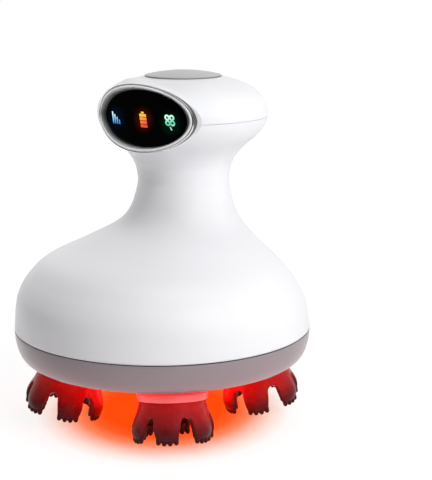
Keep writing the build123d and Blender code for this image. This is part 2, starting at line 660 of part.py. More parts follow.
def light_floor():
    """Clear red floor: domed disc, guide tubes for the sockets, pillars and lamp posts."""
    shape = dome_shell(0, FLOOR_WALL, FLOOR_RADIUS)
    shape += at_heads(rod(TUBE_OUTER, FLOOR_S + FLOOR_WALL / 2, TUBE_HIGH))
    for place in around(4, PILLAR_RING):
        shape += place * rod(PILLAR_RADIUS, floor_height(PILLAR_RING) + FLOOR_WALL / 2, PLATE_Z)
    for place in around(3, LED_POST_RING, 90):
        shape += place * rod(LED_POST_RADIUS, floor_height(0) + FLOOR_WALL, LED_BOARD_Z)
    shape -= at_heads(rod(SEAL_OUTER, FLOOR_S - 2 * CUT, SEAL_HIGH))
    shape -= at_heads(rod(SOCKET_OUTER + RUNNING_CLEARANCE, FLOOR_S - 2 * CUT, TUBE_HIGH + 2 * CUT))
    for place in around(4, PILLAR_RING):
        shape -= place * rod(SCREW_RADIUS, PLATE_Z - SCREW_LENGTH, PLATE_Z + CUT)
    for place in around(4, CASE_BOSS_RING):
        pad_low = floor_height(CASE_BOSS_RING) + FLOOR_WALL / 2
        shape += place * rod(CASE_BOSS_RADIUS, pad_low, floor_height(CASE_BOSS_RING) + FLOOR_PAD)
        shape -= place * rod(SCREW_RADIUS + SCREW_HOLE_CLEARANCE, 0, SEAM_Z)
        shape -= place * rod(SCREW_HEAD_RADIUS + SCREW_HOLE_CLEARANCE, 0, screw_seat())
    return shape


def screw_seat():
    """Height of the screw heads' seat in the floor."""
    return floor_height(CASE_BOSS_RING) + SCREW_HEAD_HEIGHT + SCREW_SINK


def base_rim():
    """Grey rim: a ring-shaped bowl with a ledge that lies on the floor's edge."""
    shape = bowl() - bowl(RIM_WALL)
    shape -= rod(FLOOR_RADIUS + FLOOR_GAP, 0, SEAM_Z)
    ledge_top = FLOOR_WALL + RIM_LEDGE_WALL
    shape += dome_shell(FLOOR_WALL, ledge_top, EDGE_END_R, FLOOR_RADIUS - RIM_LEDGE_WIDTH)
    shape += dome_shell(RIM_WALL / 2, ledge_top, EDGE_END_R, FLOOR_RADIUS + FLOOR_GAP)
    shape -= at_heads(rod(TUBE_OUTER + FLOOR_GAP, FLOOR_S, TUBE_HIGH + TUBE_HEIGHT))
    for place in around(4, CASE_BOSS_RING):
        shape -= place * rod(CASE_BOSS_RADIUS + FLOOR_GAP, 0, SEAM_Z)
    return shape & slab(0, SEAM_Z - GASKET_HALF)


save(light_floor(), "light_floor")
save(base_rim(), "base_rim")
gasket = ring(BODY_RADIUS - GASKET_INSET, BODY_RADIUS - RIM_WALL, SEAM_Z - GASKET_HALF, SEAM_Z + GASKET_HALF)
save(gasket, "seam_gasket")


# ================================================================ drive plate, motor, lamps
CONTROL_BOARD_Y = GEARBOX_RADIUS + CONTROL_BOARD_GAP
RAIL_BACK_Y = CONTROL_BOARD_Y + BOARD_THICKNESS + BOARD_RAIL
CONTROL_BOARD_HALF = sqrt((PLATE_RADIUS - CONTROL_BOARD_MARGIN) ** 2 - RAIL_BACK_Y ** 2)
MOTOR_TOP = CRADLE_Z - MOTOR_GAP


def drive_plate():
    """Internal plate over the gears: carries the shaft bushes, motor and control board."""
    boss = rod(BUSH_OUTER + PLATE_BOSS_WALL, BUSH_LOW, BUSH_HIGH + 3 * BODY_CLEARANCE)
    shape = rod(PLATE_RADIUS, PLATE_Z, PLATE_TOP)
    shape += [b & slab(0, PLATE_TOP) for b in at_heads(boss)]
    shape -= at_heads(rod(BUSH_OUTER, BUSH_LOW - CUT, BUSH_HIGH))
    shape -= at_heads(rod(SHAFT_RADIUS + SHAFT_HOLE_CLEARANCE, BUSH_LOW, BUSH_HIGH + 2 * BUSH_LENGTH))
    shape -= rod(MOTOR_HUB_RADIUS, PLATE_Z - CUT, PLATE_TOP + CUT)
    for place in around(4, PILLAR_RING):
        shape -= place * rod(SCREW_RADIUS + SCREW_HOLE_CLEARANCE, PLATE_Z - CUT, PLATE_TOP + CUT)
    half = CONTROL_BOARD_HALF
    for side in (-1, 1):
        rail = block((half - BOARD_RAIL, half + BOARD_RAIL / 2),
                     (CONTROL_BOARD_Y - BOARD_RAIL, RAIL_BACK_Y),
                     (PLATE_TOP, PLATE_TOP + BOARD_RAIL_HEIGHT))
        slot = block((0, half), (CONTROL_BOARD_Y, CONTROL_BOARD_Y + BOARD_THICKNESS),
                     (PLATE_TOP, PLATE_TOP + 2 * BOARD_RAIL_HEIGHT))
        piece = rail - slot
        shape += piece if side > 0 else mirror(piece, Plane.YZ)
    return shape


def screw(length, head_z, up=True):
    """A pan-head screw on the Z axis, its head seat at head_z."""
    way = 1 if up else -1
    shank_end = head_z + way * length
    shank = rod(SCREW_RADIUS, min(head_z, shank_end), max(head_z, shank_end))
    head_end = head_z - way * SCREW_HEAD_HEIGHT
    head = rod(SCREW_HEAD_RADIUS, min(head_z, head_end), max(head_z, head_end))
    drive_end = head_end + way * SCREW_DRIVE_DEPTH
    drive = Pos(0, 0, (head_end + drive_end) / 2) * extrude(
        RegularPolygon(SCREW_DRIVE_RADIUS, 6), SCREW_DRIVE_DEPTH / 2, both=True)
    return shank + head - drive


save(drive_plate(), "drive_plate")
save(Compound(children=[p * screw(PLATE_SCREW_LENGTH, PLATE_TOP, up=False) for p in around(4, PILLAR_RING)]),
     "plate_screws")
save(Compound(children=[p * screw(SCREW_LENGTH, screw_seat()) for p in around(4, CASE_BOSS_RING)]),
     "base_screws")

gearbox_top = PLATE_TOP + GEARBOX_HEIGHT
gearbox = rod(GEARBOX_RADIUS, PLATE_TOP, gearbox_top)
gearbox += rod(MOTOR_HUB_RADIUS, PLATE_TOP - MOTOR_HUB_HEIGHT, PLATE_TOP)
gearbox -= rod(MOTOR_SHAFT_RADIUS + RUNNING_CLEARANCE, PLATE_TOP - MOTOR_HUB_HEIGHT - CUT, PLATE_TOP)
save(gearbox, "motor_gearbox")
can = rod(MOTOR_RADIUS, gearbox_top, MOTOR_TOP)
can -= [p * rod(MOTOR_TERMINAL_RADIUS, MOTOR_TOP - CUT, MOTOR_TOP + CUT) for p in around(2, MOTOR_TERMINAL_RING)]
save(can, "motor_can")

led_board = rod(LED_BOARD_RADIUS, LED_BOARD_Z, LED_BOARD_Z + BOARD_THICKNESS)
save(led_board, "led_board")
lamp = block((-LED_SIZE / 2, LED_SIZE / 2), (-LED_SIZE / 2, LED_SIZE / 2),
             (LED_BOARD_Z - LED_HEIGHT, LED_BOARD_Z))
save(Compound(children=[p * lamp for p in around(LED_COUNT, LED_RING_RADIUS, 180 / LED_COUNT)]), "red_leds")


# ================================================================ housing and head cover
def charge_pocket(gap=0.0):
    """Box of the port cover's recess, grown by a gap."""
    y = port_spot()
    return block((-PORT_COVER_WIDTH / 2 - gap, PORT_COVER_WIDTH / 2 + gap),
                 (y - PORT_COVER_THICKNESS - gap, y + PORT_COVER_HEIGHT),
                 (PORT_Z - PORT_COVER_HEIGHT / 2 - gap, PORT_Z + PORT_COVER_HEIGHT / 2 + gap))


def port_slot():
    """Space of the charging socket through the housing wall."""
    y = port_spot() - PORT_COVER_THICKNESS - BODY_CLEARANCE
    return block((-PORT_WIDTH / 2, PORT_WIDTH / 2), (y - PORT_DEPTH, y),
                 (PORT_Z - PORT_HEIGHT / 2, PORT_Z + PORT_HEIGHT / 2))


def main_housing():
    """White housing: dome, neck and the underside of the head in one moulding."""
    shape = SHELL & slab(SEAM_Z + GASKET_HALF, HEAD_SEAM_Z)
    shape -= HOLLOW
    for angle in (0, 90, 180, 270):
        shape += case_boss(angle)
    y = port_spot()
    half_width = PORT_COVER_WIDTH / 2 + PORT_FRAME
    half_height = PORT_COVER_HEIGHT / 2 + PORT_FRAME
    shape += block((-half_width, half_width), (y - PORT_DEPTH, y - CASE_WALL / 2 - PORT_COVER_THICKNESS / 2),
                   (max(PORT_Z - half_height, SEAM_Z + CASE_WEB_START), PORT_Z + half_height)) & stack(OUTER)
    shape -= charge_pocket(BODY_CLEARANCE)
    shape -= port_slot()
    return shape


def cover_hole():
    """Top of the head cover at the edge of the button."""
    return HEAD_SEAM_Z + crown_height(BUTTON_RADIUS)


def post_top():
    """A height inside the cover's wall above the switch board's posts."""
    return HEAD_SEAM_Z + crown_height(SWITCH_POST_X + SWITCH_POST_RADIUS) - CASE_WALL / 2


def at_posts(shape):
    return [Pos(side * SWITCH_POST_X, NECK_SET_BACK, 0) * shape for side in (-1, 1)]


def head_cover():
    """White cover of the head, with the button's hole and posts for the switch board."""
    shape = SHELL & slab(HEAD_SEAM_Z, HEAD_SEAM_Z + 2 * CROWN_HEIGHT)
    shape -= HOLLOW
    shape -= Pos(0, NECK_SET_BACK, 0) * rod(BUTTON_RADIUS + BODY_CLEARANCE, HEAD_SEAM_Z, cover_hole() + CROWN_HEIGHT)
    board_top = SWITCH_BOARD_Z + BOARD_THICKNESS
    shape += at_posts(rod(SWITCH_POST_RADIUS, board_top, post_top()))
    shape -= at_posts(rod(SCREW_RADIUS, board_top - CUT, SWITCH_BOARD_Z + SWITCH_SCREW_LENGTH))
    return shape


save(main_housing(), "main_housing")
save(head_cover(), "head_cover")

port_y = port_spot() - PORT_COVER_THICKNESS - BODY_CLEARANCE
port_bottom = port_y - PORT_DEPTH + PORT_BACK
inner_port = block((-PORT_WIDTH / 2 + PORT_SHELL, PORT_WIDTH / 2 - PORT_SHELL), (port_bottom, port_y + CUT),
                   (PORT_Z - PORT_HEIGHT / 2 + PORT_SHELL, PORT_Z + PORT_HEIGHT / 2 - PORT_SHELL))
tongue = block((-PORT_TONGUE_WIDTH / 2, PORT_TONGUE_WIDTH / 2), (port_bottom, port_y - PORT_BACK),
               (PORT_Z - PORT_TONGUE / 2, PORT_Z + PORT_TONGUE / 2))
save(port_slot() - inner_port + tongue, "charge_socket")
save(charge_pocket() & stack(OUTER), "port_cover")


# ================================================================ power button and its switch
def power_button():
    """Low domed button: cap, retaining flange under the cover and a central stem."""
    rim = cover_hole() + BUTTON_EDGE
    inner_top = HEAD_SEAM_Z + crown_height(BUTTON_RADIUS + BUTTON_FLANGE, CASE_WALL)
    flange_high = inner_top - BODY_CLEARANCE
    flange_low = flange_high - BUTTON_FLANGE
    dome_radius = (BUTTON_RADIUS ** 2 + BUTTON_RISE ** 2) / (2 * BUTTON_RISE)
    dome = Pos(0, 0, rim + BUTTON_RISE - dome_radius) * Sphere(dome_radius)
    cap = rod(BUTTON_RADIUS, flange_low, rim + BUTTON_RISE + CUT) & dome
    cap += rod(BUTTON_RADIUS + 2 * BUTTON_FLANGE, flange_low, flange_high)
    cap -= rod(BUTTON_RADIUS - BUTTON_WALL, flange_low - CUT, rim - BUTTON_WALL / 2)
    stem_low = SWITCH_BOARD_Z + BOARD_THICKNESS + SWITCH_HEIGHT + BUTTON_TRAVEL + BODY_CLEARANCE / 2
    cap += rod(BUTTON_STEM_RADIUS, stem_low, rim)
    return Pos(0, NECK_SET_BACK, 0) * cap


save(power_button(), "power_button")
board = block((-SWITCH_BOARD_LENGTH / 2, SWITCH_BOARD_LENGTH / 2),
              (NECK_SET_BACK - SWITCH_BOARD_WIDTH / 2, NECK_SET_BACK + SWITCH_BOARD_WIDTH / 2),
              (SWITCH_BOARD_Z, SWITCH_BOARD_Z + BOARD_THICKNESS))
board -= at_posts(rod(SCREW_RADIUS + SCREW_HOLE_CLEARANCE, 0, 2 * HEAD_SEAM_Z))
save(board, "switch_board")
switch = block((-SWITCH_SIZE / 2, SWITCH_SIZE / 2), (-SWITCH_SIZE / 2, SWITCH_SIZE / 2), (0, SWITCH_BODY_HEIGHT))
switch += rod(SWITCH_PLUNGER_RADIUS, SWITCH_BODY_HEIGHT, SWITCH_HEIGHT)
save(Pos(0, NECK_SET_BACK, SWITCH_BOARD_Z + BOARD_THICKNESS) * switch, "button_switch")
save(Compound(children=at_posts(screw(SWITCH_SCREW_LENGTH, SWITCH_BOARD_Z))), "switch_screws")


# ================================================================ display
def icon_place(column):
    """Frame on the window for one icon; column is -1, 0 or 1."""
    return Pos(column * ICON_SPACING, 0, 0)


def slanted(x, z):
    """Icon strokes lean like italics."""
    return x - z * tan(radians(ICON_SLANT)), z


def icon_patch(outline):
    """A closed outline in the icon's own x and z."""
    return make_face(Polyline(*[slanted(x, z) for x, z in outline], close=True))


def on_window(flat):
    """Lay flat artwork on the curved front of the window."""
    face = Plane(origin=(0, HOOD_FRONT_Y - HOOD_CURVE / 4, HOOD_Z), x_dir=(1, 0, 0), z_dir=(0, -1, 0)) * flat
    bar = extrude(face, HOOD_CURVE / 2, both=True)
    return bar & curved_layer(0, ICON_THICKNESS, WINDOW_Y, WINDOW_CURVE)


def bars_icon():
    """Four strokes that get shorter, the intensity level."""
    unit = ICON_HEIGHT / 10
    strokes = Sketch()
    for k in range(4):
        left = (-3.4 + 1.8 * k) * unit
        high = (5 - 1.5 * k) * unit
        strokes += icon_patch([(left, -5 * unit), (left + 1.3 * unit, -5 * unit),
                               (left + 1.3 * unit, high), (left, high)])
    return icon_place(-1) * strokes


def battery_icon():
    """Battery outline with charge bands."""
    unit = ICON_HEIGHT / 10
    shape = Sketch()
    for k in range(4):
        low = (-6.5 + 3 * k) * unit
        shape += icon_patch([(-2.8 * unit, low), (2.8 * unit, low), (2.8 * unit, low + 2.6 * unit),
                             (-2.8 * unit, low + 2.6 * unit)])
    shape += icon_patch([(-1.2 * unit, 5.4 * unit), (1.2 * unit, 5.4 * unit), (1.2 * unit, 6.8 * unit),
                         (-1.2 * unit, 6.8 * unit)])
    return icon_place(0) * shape


def clover_icon():
    """Four rings and a short stem."""
    unit = ICON_HEIGHT / 10
    shape = Sketch()
    for x in (-2.5, 2.5):
        for z in (0.2, 5.2):
            place = Pos(*slanted(x * unit, z * unit))
            shape += place * (Circle(2.7 * unit) - Circle(1.2 * unit))
    shape += icon_patch([(-0.5 * unit, -6 * unit), (1.2 * unit, -6.4 * unit), (0.2 * unit, -2 * unit),
                         (-0.9 * unit, -2 * unit)])
    return icon_place(1) * shape


def bow(half_width, curve):
    """How far a curved front falls back at half_width from its middle."""
    return curve - sqrt(curve ** 2 - half_width ** 2)


def funnel(ring_width, ring_height):
    """The opening, which narrows from the ring's front to the part of the window that shows.

    It is a cone between two ovals, carried on past both ends so that it cuts clean.
    """
    side_front = HOOD_FRONT_Y - BEZEL_DEPTH + bow(ring_width, HOOD_CURVE)
    side_back = WINDOW_Y + bow(WINDOW_HALF_WIDTH, WINDOW_CURVE)
    side_slope = (ring_width - WINDOW_HALF_WIDTH) / (side_back - side_front)
    top_slope = (ring_height - WINDOW_HALF_HEIGHT) / (BEZEL_DEPTH + WINDOW_RECESS)
    ovals = []
    for y in (HOOD_FRONT_Y - 2 * BEZEL_DEPTH, side_back + CUT):
        ovals.append(oval(WINDOW_HALF_WIDTH + side_slope * (side_back - y),
                          WINDOW_HALF_HEIGHT + top_slope * (WINDOW_Y - y), y))
    return loft(ovals, ruled=True)


def bezel():
    """Bright ring round the display: thin flange on the hood, raised ring and a rear sleeve."""
    ring_width = HOOD_HALF_WIDTH - BEZEL_SIDE_STEP
    ring_height = HOOD_HALF_HEIGHT - BEZEL_TOP_STEP
    sleeve = HOOD_WALL + DISPLAY_FIT
    shape = front_bar(HOOD_HALF_WIDTH, HOOD_HALF_HEIGHT, 0, BEZEL_FLANGE)
    shape += front_bar(ring_width, ring_height, 0, BEZEL_DEPTH)
    shape += front_bar(HOOD_HALF_WIDTH - sleeve, HOOD_HALF_HEIGHT - sleeve, -2 * WINDOW_RECESS, 0)
    shape -= funnel(ring_width - BEZEL_SIDE_LIP, ring_height - BEZEL_TOP_LIP)
    return shape - window_bar(2 * HOOD_HALF_WIDTH, 2 * HOOD_HALF_HEIGHT, -4 * WINDOW_RECESS, 0)


def window():
    """Dark curved window behind the bezel."""
    fit = HOOD_WALL + DISPLAY_FIT
    return window_bar(HOOD_HALF_WIDTH - fit, HOOD_HALF_HEIGHT - fit, -WINDOW_THICKNESS, 0)


def display_board():
    """Flexible board with the icon lamps, behind the window."""
    margin = HOOD_WALL + DISPLAY_BOARD_MARGIN
    return window_bar(HOOD_HALF_WIDTH - margin, HOOD_HALF_HEIGHT - margin,
                      -WINDOW_THICKNESS - BOARD_THICKNESS, -WINDOW_THICKNESS)


save(bezel(), "display_bezel")
save(window(), "display_window")
save(display_board(), "display_board")
save(on_window(bars_icon()), "icon_bars")
save(on_window(battery_icon()), "icon_battery")
save(on_window(clover_icon()), "icon_clover")


# ================================================================ battery and control board
def battery_cradle():
    """Upright cradle on two legs that holds the cell in the neck."""
    floor_top = CRADLE_Z + CRADLE_FLOOR
    inner = CELL_RADIUS + CELL_FIT
    cradle = rod(inner + CRADLE_WALL, CRADLE_Z, floor_top + CRADLE_HEIGHT)
    cradle -= rod(inner, floor_top, floor_top + 2 * CRADLE_HEIGHT)
    cradle -= block((-CRADLE_OPENING / 2, CRADLE_OPENING / 2), (-2 * CELL_RADIUS, 0),
                    (floor_top, floor_top + 2 * CRADLE_HEIGHT))
    arm = block((-CRADLE_LEG_X, CRADLE_LEG_X), (-CRADLE_LEG_RADIUS, CRADLE_LEG_RADIUS), (CRADLE_Z, floor_top))
    legs = [Pos(side * CRADLE_LEG_X, 0, 0) * rod(CRADLE_LEG_RADIUS, PLATE_TOP, floor_top) for side in (-1, 1)]
    return Pos(0, NECK_SET_BACK, 0) * (cradle + arm + legs)


save(battery_cradle(), "battery_cradle")
cell_low = CRADLE_Z + CRADLE_FLOOR
cell_high = cell_low + CELL_LENGTH
cell = rod(CELL_RADIUS, cell_low, cell_high - CELL_NUB)
cell += rod(CELL_RADIUS / 3, cell_high - CELL_NUB, cell_high)
save(Pos(0, NECK_SET_BACK, 0) * cell, "battery_cell")

board = block((-CONTROL_BOARD_HALF, CONTROL_BOARD_HALF), (CONTROL_BOARD_Y, CONTROL_BOARD_Y + BOARD_THICKNESS),
              (PLATE_TOP, PLATE_TOP + CONTROL_BOARD_HEIGHT))
chip = block((-CHIP_SIZE / 2, CHIP_SIZE / 2), (CONTROL_BOARD_Y - CHIP_THICKNESS, CONTROL_BOARD_Y),
             (PLATE_TOP + CHIP_LOW, PLATE_TOP + CHIP_LOW + CHIP_HEIGHT))
save(board + chip, "control_board")
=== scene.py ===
from math import atan2, cos, hypot, pi, radians, sin, sqrt, tan

import bmesh
import bpy
import numpy as np
from mathutils import Euler, Matrix, Vector


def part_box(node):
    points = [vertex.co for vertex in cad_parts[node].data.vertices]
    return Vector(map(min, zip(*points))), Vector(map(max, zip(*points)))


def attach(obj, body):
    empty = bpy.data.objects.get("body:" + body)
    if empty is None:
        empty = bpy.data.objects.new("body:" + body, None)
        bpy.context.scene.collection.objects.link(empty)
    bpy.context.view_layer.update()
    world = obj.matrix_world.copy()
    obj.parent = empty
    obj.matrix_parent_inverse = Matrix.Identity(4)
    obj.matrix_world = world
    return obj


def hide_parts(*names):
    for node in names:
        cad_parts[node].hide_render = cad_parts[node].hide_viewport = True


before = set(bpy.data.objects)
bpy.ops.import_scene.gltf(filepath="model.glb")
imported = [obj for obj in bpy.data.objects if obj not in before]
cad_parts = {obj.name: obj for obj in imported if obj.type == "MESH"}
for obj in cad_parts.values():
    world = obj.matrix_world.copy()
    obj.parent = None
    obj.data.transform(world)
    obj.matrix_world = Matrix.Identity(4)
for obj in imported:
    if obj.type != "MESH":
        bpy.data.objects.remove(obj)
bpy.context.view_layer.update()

# ------------------------------------------------------------------ sizes, in metres
MM = 0.001
BODY_RADIUS = 58.0 * MM
SEAM_Z = 37.4 * MM
SEAM_GAP = 0.25 * MM
NECK_RADIUS = 18.2 * MM
NECK_Z = 92.0 * MM
NECK_SET_BACK = 13.5 * MM
HEAD_RADIUS = 33.2 * MM
HEAD_SEAM_Z = 118.8 * MM
CROWN_HEIGHT = 16.3 * MM
CROWN_FULLNESS = 2.3
DOME_SHAPE = [
    (0.00, 1.000, 0.00), (0.16, 0.975, -0.04), (0.27, 0.925, -0.10), (0.38, 0.832, -0.11),
    (0.49, 0.680, -0.04), (0.60, 0.420, 0.38), (0.71, 0.185, 0.80), (0.82, 0.068, 0.95),
    (1.00, 0.000, 1.00),
]
HEAD_SHAPE = [
    (0.24, 0.035), (0.39, 0.150), (0.52, 0.330), (0.61, 0.500), (0.70, 0.690),
    (0.80, 0.850), (0.90, 0.955), (1.00, 1.000),
]
HOOD_HALF_WIDTH = 24.6 * MM
HOOD_HALF_HEIGHT = 13.0 * MM
HOOD_Z = 120.0 * MM
HOOD_FRONT_Y = -13.9 * MM
HOOD_CURVE = 56.8 * MM
HOOD_BLEND = 9.0 * MM
HOOD_WALL = 1.3 * MM
WINDOW_Y = -11.0 * MM
WINDOW_CURVE = 100.0 * MM
WINDOW_HALF_WIDTH = 20.05 * MM
WINDOW_HALF_HEIGHT = 10.7 * MM
WINDOW_DROP = 0.4 * MM
WINDOW_THICKNESS = 1.6 * MM
DISPLAY_MARGIN = 1.4 * MM
BUTTON_RADIUS = 14.85 * MM
BUTTON_GAP = 0.35 * MM
BUTTON_EDGE = 0.45 * MM
BUTTON_RISE = 1.75 * MM
WALL = 1.25 * MM
FUNNEL_DEPTH = 2.7 * MM
RIM_EDGE_WIDTH = 5.0 * MM
RIM_EDGE_HEIGHT = 11.7 * MM
RIM_LOW_Z = 25.0 * MM
GROOVE = 0.16 * MM
PORT_Z = 44.4 * MM
PORT_HALF_WIDTH = 7.55 * MM
PORT_HALF_HEIGHT = 3.55 * MM
PORT_SLOT_HALF_HEIGHT = 1.7 * MM
PORT_FLOOR_Y = 55.0 * MM
PORT_SIDE_STEPS = 14
PORT_TRAY_WALL = 1.6 * MM
CORNER_STEPS = 4
# Where the form changes over, forwards or upwards: the hood's own front, the soft blend beside it,
# and the start of the rays that shape the head.
HOOD_START = (-2 * MM, 10 * MM)
BLEND_START = 16 * MM
BLEND_END = (30 * MM, 10 * MM)
HEAD_RAYS = (86 * MM, 102 * MM)
HOOD_BACK_Y = 20 * MM
PORT_SIDE_Y = 40 * MM
CASING_STEPS = 9
TURNS = 288


def station_curve(stations, count):
    """Points (z, radius, y) on a smooth curve through round sections, count per span."""
    pts = np.array(stations, float)
    slopes = np.gradient(pts, axis=0)
    out = []
    for k in range(len(pts) - 1):
        for s in np.linspace(0, 1, count, endpoint=False):
            h = np.array([2 * s**3 - 3 * s**2 + 1, s**3 - 2 * s**2 + s, -2 * s**3 + 3 * s**2, s**3 - s**2])
            out.append(h[0] * pts[k] + h[1] * slopes[k] + h[2] * pts[k + 1] + h[3] * slopes[k + 1])
    return out + [pts[-1]]


def casing_stations():
    """Round sections (z, radius, y) of the body, the neck and the underside of the head."""
    rise, swell = NECK_Z - SEAM_Z, BODY_RADIUS - NECK_RADIUS
    dome = [(SEAM_Z + rise * h, NECK_RADIUS + swell * r, NECK_SET_BACK * y) for h, r, y in DOME_SHAPE]
    lift, spread = HEAD_SEAM_Z - NECK_Z, HEAD_RADIUS - NECK_RADIUS
    return dome + [(NECK_Z + lift * h, NECK_RADIUS + spread * r, NECK_SET_BACK) for h, r in HEAD_SHAPE]


CASING_CURVE = np.array(station_curve(casing_stations(), CASING_STEPS))


def smoothstep(low, high, x):
    s = min(max((x - low) / (high - low), 0.0), 1.0)
    return s * s * (3 - 2 * s)


def hood_reach(direction, origin_z):
    """Distance along a ray from the head's axis to the oval bar of the hood."""
    x, y, z = direction
    a, b = HOOD_HALF_WIDTH, HOOD_HALF_HEIGHT
    lift = origin_z - HOOD_Z
    if abs(lift) >= b:
        return 0.0
    qa = (x / a) ** 2 + (z / b) ** 2
    qb = 2 * lift * z / b**2
    qc = (lift / b) ** 2 - 1
    limit = 2 * HEAD_RADIUS
    reach = min((-qb + sqrt(qb * qb - 4 * qa * qc)) / (2 * qa), limit) if qa > 1e-9 else limit
    return reach * smoothstep(*HOOD_START, -y * reach)


def casing_point(origin, direction, reach, origin_z):
    """A point of the casing: the turned form, joined to the hood by a soft blend."""
    other = hood_reach(direction, origin_z)
    far = max(reach, other)
    y = origin[1] + direction[1] * far
    sideways = far * hypot(direction[0], direction[1])
    clear = smoothstep(BUTTON_RADIUS + 0.5 * MM, BUTTON_RADIUS + 7 * MM, sideways)
    fade = smoothstep(0.0, BLEND_START, y - HOOD_FRONT_Y) * smoothstep(*BLEND_END, y)
    soft = HOOD_BLEND * fade * clear + 1e-5
    near = max(soft - abs(reach - other), 0.0) / soft
    return origin + direction * (far + near * near * soft / 4)


def turned_row(z, radius, middle_y, origin_z):
    """One round row of points of the casing, from the front anticlockwise as seen from above."""
    origin = np.array([0.0, middle_y, origin_z])
    rise = z - origin_z
    reach = hypot(radius, rise)
    row = []
    for turn in turns(TURNS):
        direction = np.array([sin(turn) * radius, -cos(turn) * radius, rise]) / reach
        row.append(casing_point(origin, direction, reach, origin_z))
    return row


def new_object(name, data):
    obj = bpy.data.objects.new(name, data)
    bpy.context.scene.collection.objects.link(obj)
    return obj


def shade_smooth(mesh):
    mesh.polygons.foreach_set("use_smooth", [True] * len(mesh.polygons))


def mesh_object(name, verts, faces, smooth=True):
    mesh = bpy.data.meshes.new(name)
    mesh.from_pydata([tuple(v) for v in verts], [], faces)
    mesh.update()
    if smooth:
        shade_smooth(mesh)
    return new_object(name, mesh)


def turns(count):
    """Angles of count even steps round a circle."""
    return [2 * pi * k / count for k in range(count)]


def grid_faces(rows, columns):
    """Faces between closed rows of points."""
    faces = []
    for r in range(rows - 1):
        for c in range(columns):
            d = (c + 1) % columns
            faces.append((r * columns + c, r * columns + d, (r + 1) * columns + d, (r + 1) * columns + c))
    return faces


def capped_faces(rows, columns):
    """The same, with the first and the last row closed by a face each."""
    last = (rows - 1) * columns
    ends = [tuple(reversed(range(columns))), tuple(range(last, last + columns))]
    return grid_faces(rows, columns) + ends


def ring_of_rows(name, rows):
    """A closed ring: equal rows round its opening, the last joined to the first."""
    count = len(rows[0])
    faces = []
    for r in range(len(rows)):
        n = (r + 1) % len(rows)
        for c in range(count):
            d = (c + 1) % count
            faces.append((r * count + c, n * count + c, n * count + d, r * count + d))
    return mesh_object(name, [p for row in rows for p in row], faces)


def crossing_share(a, b, level):
    """Share of the way from a to b at which level is 0."""
    low, high = 0.0, 1.0
    rising = level(b) > level(a)
    for _ in range(24):
        middle = (low + high) / 2
        if (level(a.lerp(b, middle)) > 0) == rising:
            high = middle
        else:
            low = middle
    return (low + high) / 2


def split_along(bm, level):
    """Adds an edge line where level is 0, and gives the level of every point."""
    value = {v: level(v.co) for v in bm.verts}
    for v, x in value.items():
        if abs(x) < 1e-7:
            value[v] = 0.0
    crossing = [e for e in bm.edges if value[e.verts[0]] * value[e.verts[1]] < 0]
    on_line = set(v for v in bm.verts if value[v] == 0.0)
    for e in crossing:
        a, b = e.verts
        _, vert = bmesh.utils.edge_split(e, a, crossing_share(a.co, b.co, level))
        value[vert] = 0.0
        on_line.add(vert)
    for f in list(bm.faces):
        line = [v for v in f.verts if v in on_line]
        if len(line) == 2:
            signs = [value[v] for v in f.verts if v not in on_line]
            if signs and min(signs) < 0 < max(signs):
                bmesh.utils.face_split(f, line[0], line[1])
    return value


def clip(obj, level):
    """Cuts a mesh along level = 0 and keeps the part where level is below it."""
    bm = bmesh.new()
    bm.from_mesh(obj.data)
    value = split_along(bm, level)
    drop = [f for f in bm.faces if max(value[v] for v in f.verts) > 0]
    bmesh.ops.delete(bm, geom=drop, context="FACES")
    bm.to_mesh(obj.data)
    bm.free()
    shade_smooth(obj.data)
    return obj


def apply_modifiers(obj):
    graph = bpy.context.evaluated_depsgraph_get()
    graph.update()
    mesh = bpy.data.meshes.new_from_object(obj.evaluated_get(graph))
    obj.modifiers.clear()
    obj.data = mesh
    return obj


def thicken(obj, wall):
    """Gives a surface a wall on its inner side."""
    solid = obj.modifiers.new("wall", "SOLIDIFY")
    solid.thickness = wall
    solid.offset = -1
    solid.use_even_offset = False
    return apply_modifiers(obj)


def before_hood(co):
    """Distance of a point of the head ahead of the hood's curved front."""
    if co.y < HOOD_BACK_Y and co.z > NECK_Z:
        return hypot(co.x, co.y - HOOD_FRONT_Y - HOOD_CURVE) - HOOD_CURVE
    return -1.0


def in_hood_hole(co):
    """Above 0 within the oval hole that the display sits in."""
    if co.y > 0.0 or co.z < NECK_Z:
        return -1.0
    hole = hypot(co.x / (HOOD_HALF_WIDTH - HOOD_WALL), (co.z - HOOD_Z) / (HOOD_HALF_HEIGHT - HOOD_WALL))
    return (1 - hole) * HOOD_HALF_HEIGHT


def shape_hood(obj):
    """Folds what is ahead of the curved front back onto it, and cuts the display's hole."""
    bm = bmesh.new()
    bm.from_mesh(obj.data)
    value = split_along(bm, before_hood)
    axis = Vector((0, NECK_SET_BACK, HEAD_SEAM_Z))
    middle = Vector((0, HOOD_FRONT_Y + HOOD_CURVE - NECK_SET_BACK))
    for v in bm.verts:
        if value.get(v, 0.0) > 0:
            ray = v.co - axis
            flat = ray.to_2d()
            along = flat.dot(middle)
            square = flat.length_squared
            share = (along + sqrt(along**2 - square * (middle.length_squared - HOOD_CURVE**2))) / square
            v.co = axis + ray * share
    bm.to_mesh(obj.data)
    bm.free()
    return clip(obj, in_hood_hole)


# ------------------------------------------------------------------ casing
def crown_point(share):
    """(z, radius) on the crown; share 0 at the seam, 1 at the top."""
    turn = share * pi / 2
    power = 2 / CROWN_FULLNESS
    return HEAD_SEAM_Z + CROWN_HEIGHT * sin(turn) ** power, HEAD_RADIUS * cos(turn) ** power


def origin_height(z):
    """Rays of the neck rows start level with it, and those of the head from the seam height."""
    return z + (HEAD_SEAM_Z - z) * smoothstep(*HEAD_RAYS, z)


